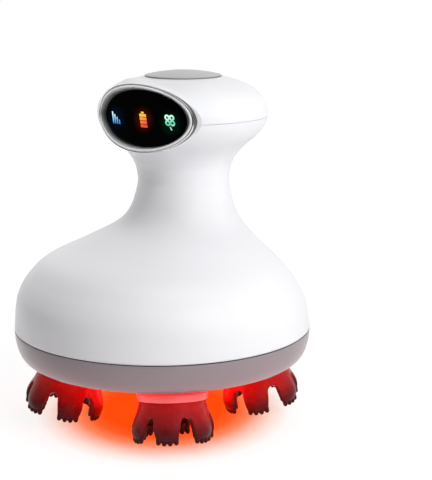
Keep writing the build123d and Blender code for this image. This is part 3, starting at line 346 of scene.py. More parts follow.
def towards_axis(row, depth):
    """The same row, moved in by depth towards the neck's axis."""
    out = []
    for p in row:
        inwards = np.array([0.0, NECK_SET_BACK, p[2]]) - p
        out.append(p + inwards * (depth / np.linalg.norm(inwards)))
    return out


def shifted(row, height):
    return [p + np.array([0, 0, height]) for p in row]


def build_housing():
    rows = []
    for z, radius, y in CASING_CURVE:
        rows.append(turned_row(z, radius, y, origin_height(z)))
    rows[0] = shifted(rows[0], SEAM_GAP)
    lip = rows[-1]
    rows[-1] = shifted(lip, -GROOVE)
    rows.append(towards_axis(shifted(lip, -GROOVE / 2), GROOVE / 3))
    rows.append(towards_axis(shifted(lip, -GROOVE / 8), GROOVE))
    obj = mesh_object("housing", [p for row in rows for p in row], grid_faces(len(rows), TURNS))
    shape_hood(obj)
    clip(obj, in_port)
    return thicken(obj, WALL)


def build_cover():
    shares = [(k / 60) ** 1.3 for k in range(61)]
    hole = BUTTON_RADIUS + BUTTON_GAP
    rows = [turned_row(*crown_point(share), NECK_SET_BACK, HEAD_SEAM_Z) for share in shares
            if crown_point(share)[1] > hole]
    share = next(s for s in np.linspace(0, 1, 4001) if crown_point(s)[1] <= hole)
    rows.append(turned_row(*crown_point(share), NECK_SET_BACK, HEAD_SEAM_Z))
    lip = rows[0]
    rows[0] = shifted(lip, GROOVE)
    rows.insert(0, towards_axis(shifted(lip, GROOVE / 2), GROOVE / 3))
    rows.insert(0, towards_axis(shifted(lip, GROOVE / 8), GROOVE))
    obj = mesh_object("cover", [p for row in rows for p in row], grid_faces(len(rows), TURNS))
    shape_hood(obj)
    return thicken(obj, WALL)


def rounded_box(x0, x1, z0, z1, r):
    """Outline of a box with rounded corners, anticlockwise."""
    corners = [(x1 - r, z0 + r, -90), (x1 - r, z1 - r, 0), (x0 + r, z1 - r, 90), (x0 + r, z0 + r, 180)]
    out = []
    for x, z, start in corners:
        for k in range(CORNER_STEPS + 1):
            a = radians(start + 90 * k / CORNER_STEPS)
            out.append((x + r * cos(a), z + r * sin(a)))
    return out


def in_port(co):
    """Above 0 within the opening of the charging port's recess."""
    if co.y < PORT_SIDE_Y:
        return -1.0
    x, z = abs(co.x) - PORT_HALF_WIDTH, abs(co.z - PORT_Z) - PORT_HALF_HEIGHT
    return -max(x, z)


def port_outline(grow, half_x=PORT_HALF_WIDTH, half_z=PORT_HALF_HEIGHT, corner=0.5 * MM):
    """Outline (x, z) round the port, its sides in short steps so that they follow the casing."""
    half_x, half_z = half_x + grow * MM, half_z + grow * MM
    points = rounded_box(-half_x, half_x, PORT_Z - half_z, PORT_Z + half_z, corner)
    out = []
    for k, (p, q) in enumerate(zip(points, points[1:] + points[:1])):
        steps = PORT_SIDE_STEPS if k % (CORNER_STEPS + 1) == CORNER_STEPS else 1
        out += [(p[0] + (q[0] - p[0]) * i / steps, p[1] + (q[1] - p[1]) * i / steps) for i in range(steps)]
    return out


def casing_back(x, z):
    """How far back the casing's outside is at a point of its back."""
    heights, radii, middles = CASING_CURVE.T
    radius = np.interp(z, heights, radii)
    return np.interp(z, heights, middles) + sqrt(radius * radius - x * x)


def build_port_tray():
    """Recess behind the port's cover: walls, a floor and the slot that the socket sits in."""
    front, back = PORT_FLOOR_Y, PORT_FLOOR_Y - PORT_TRAY_WALL
    slot = port_outline(0.05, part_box("charge_socket")[1][0], PORT_SLOT_HALF_HEIGHT, 0.3 * MM)
    mouth, wall = port_outline(-0.06), port_outline(1.4)
    lip = [(x, max(casing_back(x, z) - 0.3 * MM, front + 0.05 * MM), z) for x, z in mouth]
    edge = [(x, max(casing_back(x, z) - 0.8 * MM, back + 0.1 * MM), z) for x, z in wall]
    inside = ((mouth, front), (slot, front), (slot, back), (wall, back))
    inside = [[(x, y, z) for x, z in outline] for outline, y in inside]
    obj = ring_of_rows("port_tray", [lip, *inside, edge])
    obj.data.shade_flat()
    return obj


def build_port_cover():
    """Soft-edged rubber flap, flush with the casing and flat behind."""
    low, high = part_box("port_cover")
    half_x, half_z = high[0] - 0.02 * MM, (high[2] - low[2]) / 2 - 0.02 * MM
    back = low[1] + 0.01 * MM

    def row(grow, depth, share=1.0):
        outline = port_outline(grow, half_x, half_z)
        placed = [(x * share, PORT_Z + (z - PORT_Z) * share) for x, z in outline]
        return [(x, max(casing_back(x, z) - depth * MM, back + 0.03 * MM), z) for x, z in placed]

    rows = [[(x, back, z) for x, z in port_outline(0.0, half_x, half_z)]]
    rows += [row(grow, depth) for grow, depth in ((0.0, 0.42), (-0.07, 0.22), (-0.2, 0.09), (-0.4, 0.03))]
    rows += [row(-0.4, 0.02, share) for share in (0.9, 0.75, 0.6, 0.45, 0.3, 0.15, 0.04)]
    obj = mesh_object("flap", [p for r in rows for p in r], capped_faces(len(rows), len(rows[0])))
    bm = bmesh.new()
    bm.from_mesh(obj.data)
    bmesh.ops.recalc_face_normals(bm, faces=bm.faces)
    bm.to_mesh(obj.data)
    bm.free()
    return obj


housing = build_housing()
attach(housing, "root")
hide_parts("main_housing")
tray = build_port_tray()
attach(tray, "root")
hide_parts("main_housing")
flap = build_port_cover()
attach(flap, "port_flap")
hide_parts("port_cover")
cover = build_cover()
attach(cover, "root")
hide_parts("head_cover")

# Inner side of the rim, as (radius, z) in mm.
RIM_INSIDE = [
    (52.2, 25.38), (50.6, 24.92), (50.2, 24.85), (50.1, 25.0), (50.1, 27.0), (50.4, 27.3), (53.0, 28.1),
    (54.2, 28.9), (54.95, 30.0), (55.6, 32.4), (55.9, 34.8), (56.0, 36.95), (56.2, 37.15), (57.8, 37.15),
]


def build_rim():
    """Rounded band under the seam, turned in towards the red floor."""
    middle = BODY_RADIUS - RIM_EDGE_WIDTH
    edge = [radians(1.2 + 80.8 * (k / 24)) for k in range(25)]
    profile = [(middle + RIM_EDGE_WIDTH * cos(t), SEAM_Z - RIM_EDGE_HEIGHT * sin(t)) for t in edge]
    profile += [(r * MM, z * MM) for r, z in RIM_INSIDE]
    return ring_of_rows("rim", [[(r * sin(t), r * cos(t), z) for t in turns(TURNS)] for r, z in profile])


rim = build_rim()
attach(rim, "root")
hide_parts("base_rim")


# ------------------------------------------------------------------ display
def curved(x, z, depth, middle_y, curve):
    """A point depth forwards of an upright curved surface."""
    radius = curve + depth
    return (x, middle_y + curve - sqrt(radius * radius - x * x), z)


def on_hood(x, z, depth=0.0):
    return curved(x, HOOD_Z + z, depth, HOOD_FRONT_Y, HOOD_CURVE)


def on_window(x, z, depth=0.0):
    return curved(x, HOOD_Z + z, depth, WINDOW_Y, WINDOW_CURVE)


OVAL_POINTS = 240


def oval_row(surface, half_width, half_height, depth, count=OVAL_POINTS):
    return [surface(half_width * cos(t), half_height * sin(t), depth) for t in turns(count)]


# Rows of the bezel: inset from the hood's oval in width and height, and depth forwards, in mm.
BEZEL_FLANGE = [(0.0, 0.0, -0.10), (0.0, 0.0, 0.18), (0.05, 0.04, 0.27), (0.15, 0.08, 0.30)]
BEZEL_GROOVE = [(1.50, 0.14, 0.30), (1.60, 0.17, 0.22), (1.66, 0.20, -0.05), (1.76, 0.34, -0.08),
                (1.86, 0.46, -0.05)]
BEZEL_RING = [(1.90, 0.50, 0.16), (1.98, 0.56, 0.36), (2.10, 0.68, 0.50), (2.26, 0.86, 0.58),
              (2.42, 1.04, 0.60), (2.58, 1.20, 0.56)]
BEZEL_EDGE = [(2.70, 1.33, 0.45)]


def build_bezel():
    """Thin flange on the hood, rounded bright ring, and a funnel down to the window."""
    wide, tall = HOOD_HALF_WIDTH, HOOD_HALF_HEIGHT
    front = BEZEL_FLANGE + BEZEL_GROOVE + BEZEL_RING + BEZEL_EDGE
    rows = [oval_row(on_hood, wide - a * MM, tall - b * MM, depth * MM) for a, b, depth in front]
    last = np.array(rows[-1])
    foot = np.array(oval_row(on_window, WINDOW_HALF_WIDTH, WINDOW_HALF_HEIGHT, 0.02 * MM))
    foot -= [0, 0, WINDOW_DROP]
    for share in (0.1, 0.25, 0.4, 0.55, 0.7, 0.85, 0.95, 1.0):
        sag = 0.12 * MM * sin(pi * share)
        rows.append([tuple(p + np.array([0, sag, 0])) for p in last * (1 - share) + foot * share])
    rows.append(oval_row(on_window, wide - DISPLAY_MARGIN, tall - DISPLAY_MARGIN, 0.0))
    rows.append(oval_row(on_hood, wide - DISPLAY_MARGIN, tall - DISPLAY_MARGIN, -0.10 * MM))
    obj = ring_of_rows("bezel", rows)
    # The groove rows wear the dark metal, a dark seam with painted shade in it.
    row_material = [0] * len(BEZEL_FLANGE) + [1] * len(BEZEL_GROOVE) + [2] * len(BEZEL_RING)
    row_material += [3] * (len(rows) - len(row_material))
    for k, polygon in enumerate(obj.data.polygons):
        polygon.material_index = row_material[k // OVAL_POINTS]
    return obj


def build_window():
    """Curved dark glass, as rings from the middle of its front to the middle of its back."""
    width, height = HOOD_HALF_WIDTH - DISPLAY_MARGIN, HOOD_HALF_HEIGHT - DISPLAY_MARGIN
    steps = 14
    rings = [(k / steps, 0.0) for k in range(1, steps)]
    rings += [(0.985, 0.0), (0.997, -0.06 * MM), (1.0, -0.2 * MM), (1.0, -WINDOW_THICKNESS)]
    rings += [(k / steps, -WINDOW_THICKNESS) for k in range(steps - 1, 0, -1)]
    count = 120
    verts = []
    for share, depth in rings:
        verts += oval_row(on_window, width * share, height * share, depth, count)
    faces = [tuple(reversed(f)) for f in grid_faces(len(rings), count)]
    verts.append(on_window(0, 0))
    verts.append(on_window(0, 0, -WINDOW_THICKNESS))
    last = (len(rings) - 1) * count
    for c in range(count):
        d = (c + 1) % count
        faces.append((c, d, len(verts) - 2))
        faces.append((last + d, last + c, len(verts) - 1))
    return mesh_object("window", verts, faces)


ICON_LEAN = tan(radians(9.5))
ICON_UNIT = 0.5 * MM
ICON_PLACE = {
    "bars": (-13.9 * MM, -1.25 * MM),
    "battery": (0.45 * MM, -0.75 * MM),
    "clover": (12.9 * MM, -1.35 * MM),
}
ICON_THICK = 0.12 * MM


def lean(x, z):
    """The icons are set in italics."""
    return x - z * ICON_LEAN, z


def build_icon(name, patches):
    """Flat patches, each an outline or an (outer, inner) pair, raised on the window."""
    verts, faces = [], []
    middle_x, middle_z = ICON_PLACE[name]
    for patch in patches:
        outer, inner = patch if isinstance(patch, tuple) else (patch, None)
        loops = []
        for outline in (outer, inner) if inner else (outer,):
            for depth in (ICON_THICK, -0.02 * MM):
                loops.append(range(len(verts), len(verts) + len(outline)))
                for x, z in outline:
                    px, pz = lean(x * ICON_UNIT, z * ICON_UNIT)
                    verts.append(on_window(px + middle_x, pz + middle_z, depth))
        count = len(outer)
        pairs = [(c, (c + 1) % count) for c in range(count)]
        if inner:
            for i, j in ((0, 2), (3, 1), (1, 0), (2, 3)):
                faces += [(loops[i][c], loops[i][d], loops[j][d], loops[j][c]) for c, d in pairs]
        else:
            faces.append(tuple(loops[0]))
            faces.append(tuple(reversed(loops[1])))
            faces += [(loops[1][c], loops[1][d], loops[0][d], loops[0][c]) for c, d in pairs]
    return mesh_object(name, verts, faces, smooth=False)


def circle_points(x, z, r, count=28):
    return [(x + r * cos(t), z + r * sin(t)) for t in turns(count)]


# Patches of the icons, in units of ICON_UNIT from the middle of each.
bars = [rounded_box(-4.3 + 2.3 * k, -3.2 + 2.3 * k, -4.4, 4.6 - 1.9 * k, 0.25) for k in range(4)]
battery = [rounded_box(-3.2, 3.2, -5.9 + 2.65 * k, -3.7 + 2.65 * k, 0.35) for k in range(4)]
battery.append(rounded_box(-1.3, 1.3, 4.6, 5.9, 0.3))
clover = [(circle_points(x, z, 2.2), circle_points(x, z, 0.95)) for x in (-2.0, 2.0) for z in (0.3, 4.3)]
stem = rounded_box(-0.45, 0.45, -5.0, -2.4, 0.4)
clover.append([(x - 1.6 - 0.45 * z, z) for x, z in stem])

bezel = build_bezel()
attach(bezel, "root")
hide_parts("display_bezel")
window = build_window()
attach(window, "root")
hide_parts("display_window")
ICONS = [("bars", bars, "icon_blue"), ("battery", battery, "icon_amber"), ("clover", clover, "icon_green")]
icons = {}
for name, patches, slot in ICONS:
    piece = build_icon(name, patches)
    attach(piece, "root")
    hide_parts("icon_" + name)
    icons[name] = piece


# ------------------------------------------------------------------ power button
def button_rim():
    """Height of the button's edge, a little above the cover's hole."""
    share = (BUTTON_RADIUS / HEAD_RADIUS) ** CROWN_FULLNESS
    return HEAD_SEAM_Z + CROWN_HEIGHT * (1 - share) ** (1 / CROWN_FULLNESS) + BUTTON_EDGE


FLANGE_DROP = 3.55 * MM
FLANGE_WIDTH = 2.2 * MM
FLANGE_THICKNESS = 1.2 * MM
BUTTON_WALL = 1.8 * MM
STEM_RADIUS = 2.3 * MM
STEM_Z = 129.8 * MM


def build_button():
    """Flat dome on a short skirt, with a flange under the cover and a stem that meets the switch."""
    rim_z, rise = button_rim(), BUTTON_RISE
    flange_z, under = rim_z - FLANGE_DROP, rim_z - 0.9 * MM
    dome = (BUTTON_RADIUS**2 + rise**2) / (2 * rise)
    profile = [(r * BUTTON_RADIUS, rim_z + rise - dome + sqrt(dome**2 - (r * BUTTON_RADIUS) ** 2))
               for r in np.linspace(0.04, 0.972, 26)]
    profile += [(0.99 * BUTTON_RADIUS, rim_z + 0.03 * MM), (BUTTON_RADIUS, rim_z - 0.25 * MM),
                (BUTTON_RADIUS, flange_z + FLANGE_THICKNESS),
                (BUTTON_RADIUS + FLANGE_WIDTH, flange_z + FLANGE_THICKNESS - 0.1 * MM),
                (BUTTON_RADIUS + FLANGE_WIDTH, flange_z), (BUTTON_RADIUS - BUTTON_WALL, flange_z),
                (BUTTON_RADIUS - BUTTON_WALL - 0.1 * MM, under), (STEM_RADIUS, under),
                (STEM_RADIUS - 0.1 * MM, STEM_Z), (0.5 * MM, STEM_Z)]
    count = 128
    verts = []
    for radius, z in profile:
        verts += [(radius * sin(t), NECK_SET_BACK - radius * cos(t), z) for t in turns(count)]
    return mesh_object("button", verts, [tuple(reversed(f)) for f in capped_faces(len(profile), count)])


button = build_button()
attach(button, "button")
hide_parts("power_button")

# ------------------------------------------------------------------ massage heads
SPLAY = radians(11.5)
RING_RADIUS = 40.2 * MM
TIP_Z = 2.813 * MM
# Each head's place round the base and the turn of its claw, in degrees.
HEADS = {
    "front_right": (45, 45.4),
    "front_left": (-45, 35.5),
    "rear_right": (135, 15.6),
    "rear_left": (-135, 20.0),
}
FINGERS = 6
CLAW_HEIGHT = 15.6 * MM


def head_matrix(azimuth):
    """From a head's own space, its axis up from the nub tips, to its place under the base."""
    a = radians(azimuth)
    out = Vector((sin(a), -cos(a), 0))
    up = out * -sin(SPLAY) + Vector((0, 0, cos(SPLAY)))
    along = out * cos(SPLAY) + Vector((0, 0, sin(SPLAY)))
    side = up.cross(along)
    place = out * RING_RADIUS + Vector((0, 0, TIP_Z))
    return Matrix.Translation(place) @ Matrix((along, side, up)).transposed().to_4x4()


# The claw's sizes, in mm: its outside as (radius, height over the nub tips), and so on.
CLAW_PROFILE = [
    (2.1, 15.15), (3.0, 15.65), (4.4, 15.95), (6.2, 15.85), (8.2, 15.25), (10.2, 14.40), (12.2, 13.55),
    (14.2, 12.95), (15.1, 12.80), (15.6, 12.45),
]
FINGER_LOW = 2.1
FINGER_BULGE = 0.5
CLAW_WALL = 2.5
ARCH_TOP = 10.6
ARCH_HALF = 2.3
ARCH_FLARE = 0.20
FINGER_REACH = 14.3
TIP_ROOM = 0.12
TOES = 4
TOE_PITCH = 8.9
TOE_RADIUS = 0.93
TOE_REACH = 14.15
INNER_TOE_RADIUS = 0.8
INNER_TOE_REACH = 12.3
BUMP_HEIGHTS = (3.3, 5.0, 6.7, 8.4)
BUMP_RADIUS = 0.75
BUMP_REACH = 13.5
BUMP_TURN_IN = 0.030
VOXEL, QUICK_VOXEL = 0.26, 0.34
ROOF = [(5.2, 15.5), (12.4, 15.5), (12.6, 13.0), (5.2, 13.0)]


def claw_radius(s):
    """The claw's outer radius, s above the nub tips."""
    return float(np.interp(s, *zip(*CLAW_PROFILE)))


def arch_half(s):
    """Half the width of the gap between two fingers, s above the nub tips."""
    return ARCH_HALF + max(0.0, ARCH_TOP - ARCH_HALF - s) * ARCH_FLARE


def in_arch(co):
    """Above 0 within a gap between two fingers."""
    step = 2 * pi / FINGERS
    turn = atan2(co.y, co.x) - step / 2
    side = abs(turn - step * round(turn / step)) * FINGER_REACH
    s = co.z / MM
    above = s - (ARCH_TOP - ARCH_HALF)
    level = ARCH_HALF - hypot(side, above) if above > 0 else arch_half(s) - side
    return level * MM


def bridge(bm, a, b):
    """Faces between two closed loops of as many points."""
    for c in range(len(a)):
        d = (c + 1) % len(a)
        bm.faces.new((a[c], a[d], b[d], b[c]))


def add_rings(bm, rings, sides):
    """A closed form through rings of (middle x, middle y, z, radius), in millimetres."""
    loops = []
    for x, y, z, r in rings:
        loops.append([bm.verts.new(((x + r * cos(t)) * MM, (y + r * sin(t)) * MM, z * MM))
                      for t in turns(sides)])
    bm.faces.new(list(reversed(loops[0])))
    bm.faces.new(loops[-1])
    for a, b in zip(loops, loops[1:]):
        bridge(bm, a, b)


def add_toe(bm, turn, reach, low, high, size, lean_out=0.0):
    """A peg with a round end, along the head's axis."""
    rings = []
    for a in (15, 35, 60, 90):
        z = low + size * (1 - cos(radians(a)))
        rings.append((z, size * sin(radians(a))))
    rings.append((high, size * 1.1))
    placed = []
    for z, r in rings:
        out = reach + lean_out * (high - z)
        placed.append((out * cos(turn), out * sin(turn), z, r))
    add_rings(bm, placed, 14)


def build_claw():
    """Six bulging fingers under a ring-shaped roof, with toes and bumps blended in."""
    count, levels = 240, 44
    rows = []
    for k in range(levels):
        s = FINGER_LOW + (CLAW_HEIGHT / MM - FINGER_LOW) * k / (levels - 1)
        fullness = FINGER_BULGE * max(0.0, 1 - ((s - 4.6) / 8.0) ** 2)
        row = []
        for turn in turns(count):
            r = (claw_radius(s) - 0.3 + fullness * (cos(FINGERS * turn) - 0.35)) * MM
            row.append((r * cos(turn), r * sin(turn), s * MM))
        rows.append(row)
    obj = mesh_object("claw", [p for row in rows for p in row], grid_faces(levels, count))
    clip(obj, in_arch)
    thicken(obj, CLAW_WALL * MM)
    bm = bmesh.new()
    bm.from_mesh(obj.data)
    loops = [[bm.verts.new((r * MM * cos(t), r * MM * sin(t), s * MM)) for t in turns(96)] for r, s in ROOF]
    for a, b in zip(loops, loops[1:] + loops[:1]):
        bridge(bm, a, b)
    for middle in turns(FINGERS):
        for k in range(TOES):
            place = k - (TOES - 1) / 2
            low = 0.3 if abs(place) > 1 else 0.0
            turn = middle + radians(TOE_PITCH * place)
            add_toe(bm, turn, TOE_REACH, low + TIP_ROOM, 5.2, TOE_RADIUS, 0.04)
            if k:
                between = middle + radians(TOE_PITCH * (place - 0.5))
                add_toe(bm, between, INNER_TOE_REACH, 1.5, 5.0, INNER_TOE_RADIUS)
        for side in (-1, 1):
            for s in BUMP_HEIGHTS:
                edge = pi / FINGERS - arch_half(s) / FINGER_REACH
                turn = middle + side * (edge - BUMP_TURN_IN)
                add_toe(bm, turn, BUMP_REACH - 0.05 * s, s - BUMP_RADIUS, s + 0.9, BUMP_RADIUS)
    bmesh.ops.recalc_face_normals(bm, faces=bm.faces)
    bm.to_mesh(obj.data)
    bm.free()
    remesh = obj.modifiers.new("blend", "REMESH")
    remesh.mode = "VOXEL"
    remesh.voxel_size = VOXEL * MM
    soft = obj.modifiers.new("soft", "SMOOTH")
    soft.factor = 0.5
    soft.iterations = 1
    apply_modifiers(obj)
    shade_smooth(obj.data)
    return obj


# The core's outside, as (radius, height over the nub tips) in mm.
CORE_PROFILE = [
    (5.0, 13.1), (5.0, 15.6), (12.9, 15.6), (13.15, 15.85), (13.45, 18.1), (13.2, 18.4), (8.9, 18.4),
    (8.9, 20.05), (8.0, 20.05), (8.0, 21.55), (8.9, 21.55), (8.9, 22.85), (8.0, 22.85), (8.0, 24.35),
    (8.9, 24.35), (8.9, 25.8), (8.4, 26.3),
]
HEX_RADIUS = 4.35
HEX_FLOOR = 20.95


def build_core():
    """Collar and grooved plug of a head, with a six-sided hole for the drive."""
    count = 96
    loops = [[(r * cos(t), r * sin(t), s) for t in turns(count)] for r, s in CORE_PROFILE]
    for s in (CORE_PROFILE[-1][1], HEX_FLOOR):
        ring = []
        for turn in turns(count):
            flat = (turn % (pi / 3)) - pi / 6
            r = HEX_RADIUS * cos(pi / 6) / cos(flat)
            ring.append((r * cos(turn), r * sin(turn), s))
        loops.append(ring)
    verts = [tuple(v * MM for v in p) for loop in loops for p in loop]
    return mesh_object("core", verts, capped_faces(len(loops), count))


claw_mesh = build_claw()
core_mesh = build_core()
claws, cores = [], []
for place, (azimuth, phase) in HEADS.items():
    for source, name, node, slot, kept in (
            (claw_mesh, "claw", "massage_claw", "claw_silicone", claws),
            (core_mesh, "core", "head_core", "core_red", cores)):
        piece = new_object(f"{name}_{place}", source.data.copy())
        turn = phase if name == "claw" else 0
        piece.data.transform(head_matrix(azimuth) @ Matrix.Rotation(radians(turn), 4, "Z"))
        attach(piece, f"head_{place}")
        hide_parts(f"{node}_{place}")
        kept.append(piece)
for source in (claw_mesh, core_mesh):
    bpy.data.objects.remove(source)


# ------------------------------------------------------------------ materials
def shader(name, **values):
    """A material, its node tree and its main shader, with plain numbers set on the sockets."""
    made = bpy.data.materials.new(name)
    made.use_nodes = True
    main = made.node_tree.nodes["Principled BSDF"]
    for key, value in values.items():
        main.inputs[key.replace("_", " ")].default_value = value
    return made, made.node_tree, main


def add(tree, kind, **settings):
    """A node with its settings, each a socket's value or a property of the node."""
    node = tree.nodes.new(kind)
    for key, value in settings.items():
        if key in node.inputs:
            node.inputs[key].default_value = value
        else:
            setattr(node, key, value)
    return node


def feed(tree, node, *sources):
    """Links or sets the first inputs of a node, in order."""
    for socket, source in zip(node.inputs, sources):
        if isinstance(source, bpy.types.NodeSocket):
            tree.links.new(source, socket)
        else:
            socket.default_value = source
    return node


def vector_math(tree, operation, *sources):
    return feed(tree, add(tree, "ShaderNodeVectorMath", operation=operation), *sources)


def ramp(tree, source, stops):
    """Colours in steps of place; the source is a value from 0 to 1."""
    node = tree.nodes.new("ShaderNodeValToRGB")
    while len(node.color_ramp.elements) < len(stops):
        node.color_ramp.elements.new(0.5)
    for element, (place, colour) in zip(node.color_ramp.elements, stops):
        element.position = place
        element.color = (*colour, 1)
    tree.links.new(source, node.inputs[0])
    return node.outputs[0]


def axes(tree, space="Object"):
    """The place of a point in the piece's own space, or another one, as X, Y and Z."""
    where = add(tree, "ShaderNodeTexCoord")
    return feed(tree, add(tree, "ShaderNodeSeparateXYZ"), where.outputs[space]).outputs


def map_range(tree, source, low, high, to_low=0.0, to_high=1.0, **settings):
    node = add(tree, "ShaderNodeMapRange", **settings)
    return feed(tree, node, source, low, high, to_low, to_high).outputs[0]


def multiply_add(tree, source, factor, more):
    node = add(tree, "ShaderNodeMath", operation="MULTIPLY_ADD")
    return feed(tree, node, source, factor, more).outputs[0]


def finish_surface(tree, main, scale, tones, roughness, bump):
    """Colour, gloss and fine relief from one noise in the piece's own space."""
    where = add(tree, "ShaderNodeTexCoord")
    noise = add(tree, "ShaderNodeTexNoise", Scale=scale, Detail=3.0)
    tree.links.new(where.outputs["Object"], noise.inputs["Vector"])
    if tones:
        colour = ramp(tree, noise.outputs[0], [(0.3, tones[0]), (0.7, tones[1])])
        tree.links.new(colour, main.inputs["Base Color"])
    gloss = ramp(tree, noise.outputs[0], [(0.25, (roughness[0],) * 3), (0.75, (roughness[1],) * 3)])
    tree.links.new(gloss, main.inputs["Roughness"])
    fine = add(tree, "ShaderNodeTexNoise", Scale=scale * 7, Detail=2.0)
    tree.links.new(where.outputs["Object"], fine.inputs["Vector"])
    relief = add(tree, "ShaderNodeBump", Strength=bump, Distance=0.0002)
    tree.links.new(fine.outputs[0], relief.inputs["Height"])
    tree.links.new(relief.outputs[0], main.inputs["Normal"])
    return noise


def plain(name, tones, roughness, bump=0.05, scale=180.0, **values):
    made, tree, main = shader(name, **values)
    finish_surface(tree, main, scale, tones, roughness, bump)
    return made


WHITE = plain("white_abs", ((0.866, 0.866, 0.892), (0.874, 0.874, 0.899)), (0.31, 0.33), 0.012,
              scale=60.0, IOR=1.45)
# The groove between the bezel's flange and ring wears dark metal: a dark seam, with painted shade for the
# shadow and dark reflection in the groove.
GROOVE_SEAM_AND_SHADE = plain("groove_seam_and_painted_shade", ((0.05, 0.05, 0.052), (0.07, 0.07, 0.073)), (0.3, 0.4), 0.02,
                    scale=300.0, Metallic=1.0)
BRIGHT_RING = plain("bright_ring", ((0.94, 0.94, 0.945), (0.96, 0.96, 0.965)), (0.16, 0.20), 0.01,
                    scale=300.0, Metallic=0.6)
GASKET = plain("gasket", ((0.03, 0.03, 0.032), (0.045, 0.045, 0.048)), (0.6, 0.75), 0.1)
CHROME = plain("chrome", ((0.87, 0.875, 0.885), (0.9, 0.905, 0.915)), (0.11, 0.14), 0.01,
               scale=300.0, Metallic=1.0)
STEEL = plain("steel", ((0.5, 0.5, 0.51), (0.62, 0.62, 0.63)), (0.25, 0.4), 0.05, Metallic=1.0)
BOARD = plain("board_green", ((0.02, 0.13, 0.055), (0.035, 0.18, 0.08)), (0.35, 0.5), 0.08, scale=400.0)
BOARD_WHITE = plain("board_white", ((0.7, 0.7, 0.67), (0.78, 0.78, 0.75)), (0.35, 0.5), 0.08)
BLACK = plain("black_plastic", ((0.03, 0.03, 0.033), (0.05, 0.05, 0.055)), (0.4, 0.55), 0.1)
GREY = plain("grey_plastic", ((0.28, 0.29, 0.31), (0.34, 0.35, 0.37)), (0.4, 0.55), 0.1)
NYLON = plain("nylon", ((0.82, 0.8, 0.74), (0.88, 0.86, 0.8)), (0.4, 0.55), 0.08, Subsurface_Weight=0.1,
              Subsurface_Scale=0.002)
SEAL = plain("seal_rubber", ((0.04, 0.04, 0.04), (0.065, 0.065, 0.065)), (0.6, 0.75), 0.1)
BRONZE = plain("bronze", ((0.55, 0.38, 0.17), (0.66, 0.48, 0.24)), (0.3, 0.45), 0.08, Metallic=1.0)
SLEEVE = plain("cell_sleeve", ((0.07, 0.18, 0.4), (0.1, 0.23, 0.48)), (0.3, 0.4), 0.03)
COVER_RUBBER = plain("port_cover", ((0.79, 0.79, 0.8), (0.83, 0.83, 0.84)), (0.45, 0.55), 0.06)


def make_claw_material():
    """Dark red silicone with painted light: brighter towards the lit red floor of the massager, darker down
    towards the toes.
    """
    made, tree, main = shader("claw_silicone", IOR=1.42, Subsurface_Weight=0.1, Subsurface_Scale=0.0015,
                              Specular_IOR_Level=0.16)
    main.inputs["Subsurface Radius"].default_value = (1.0, 0.12, 0.08)
    main.inputs["Sheen Weight"].default_value = 0.12
    main.inputs["Sheen Roughness"].default_value = 0.35
    main.inputs["Sheen Tint"].default_value = (1.0, 0.35, 0.36, 1)
    noise = finish_surface(tree, main, 260.0, None, (0.22, 0.32), 0.10)
    where = add(tree, "ShaderNodeTexCoord")
    quarter = vector_math(tree, "ABSOLUTE", where.outputs["Object"])
    sideways = -sin(SPLAY) / sqrt(2)
    along = vector_math(tree, "DOT_PRODUCT", quarter.outputs[0], (sideways, sideways, cos(SPLAY)))
    start = cos(SPLAY) * TIP_Z - sin(SPLAY) * RING_RADIUS
    height = map_range(tree, along.outputs["Value"], start, start + CLAW_HEIGHT)
    mottle_and_painted_light = multiply_add(tree, noise.outputs[0], 0.08, height)
    stops = [(0.08, (0.045, 0.0035, 0.0040)), (0.34, (0.120, 0.0070, 0.0080)),
             (0.62, (0.300, 0.0105, 0.0115)), (0.98, (0.480, 0.0120, 0.0130))]
    tree.links.new(ramp(tree, mottle_and_painted_light, stops), main.inputs["Base Color"])
    return made


def make_funnel_painted_shade_material():
    """Satin metal with painted shade and reflection: darker towards the black window at its foot, where the
    recess is in shade and mirrors the black glass.
    """
    made, tree, main = shader("funnel", Metallic=0.3)
    finish_surface(tree, main, 300.0, None, (0.26, 0.32), 0.01)
    place = axes(tree)
    square = feed(tree, add(tree, "ShaderNodeMath", operation="MULTIPLY"), place["X"], place["X"])
    level = multiply_add(tree, square.outputs[0], -0.5 / WINDOW_CURVE, place["Y"])
    rise = map_range(tree, level, WINDOW_Y, WINDOW_Y - FUNNEL_DEPTH)
    stops = [(0.0, (0.02, 0.02, 0.021)), (0.15, (0.07, 0.07, 0.072)), (0.45, (0.28, 0.28, 0.284)),
             (0.85, (0.92, 0.92, 0.93))]
    tree.links.new(ramp(tree, rise, stops), main.inputs["Base Color"])
    return made


def make_rim_material():
    """Grey plastic, a little pink where the red light from below falls on it."""
    made, tree, main = shader("rim_grey", Coat_Weight=0.35, Coat_Roughness=0.14)
    finish_surface(tree, main, 90.0, None, (0.28, 0.33), 0.012)
    height = map_range(tree, axes(tree)["Z"], RIM_LOW_Z, SEAM_Z)
    stops = [(0.0, (0.50, 0.30, 0.32)), (0.12, (0.39, 0.255, 0.275)), (0.45, (0.325, 0.240, 0.260)),
             (1.0, (0.290, 0.245, 0.263))]
    tree.links.new(ramp(tree, height, stops), main.inputs["Base Color"])
    return made


def make_button_material():
    """Matt grey top; below its edge the side wall is painted darker, a painted shade for the gap round the
    button.
    """
    made, tree, main = shader("button_grey")
    noise = finish_surface(tree, main, 200.0, None, (0.36, 0.42), 0.03)
    mottle_and_painted_light = multiply_add(tree, noise.outputs[0], 0.08 * MM, axes(tree)["Z"])
    height = map_range(tree, mottle_and_painted_light, button_rim() - 0.6 * MM, button_rim() + 0.2 * MM)
    stops = [(0.0, (0.16, 0.16, 0.165)), (0.6, (0.22, 0.22, 0.226)), (0.85, (0.46, 0.46, 0.466)),
             (1.0, (0.49, 0.49, 0.497))]
    tree.links.new(ramp(tree, height, stops), main.inputs["Base Color"])
    return made


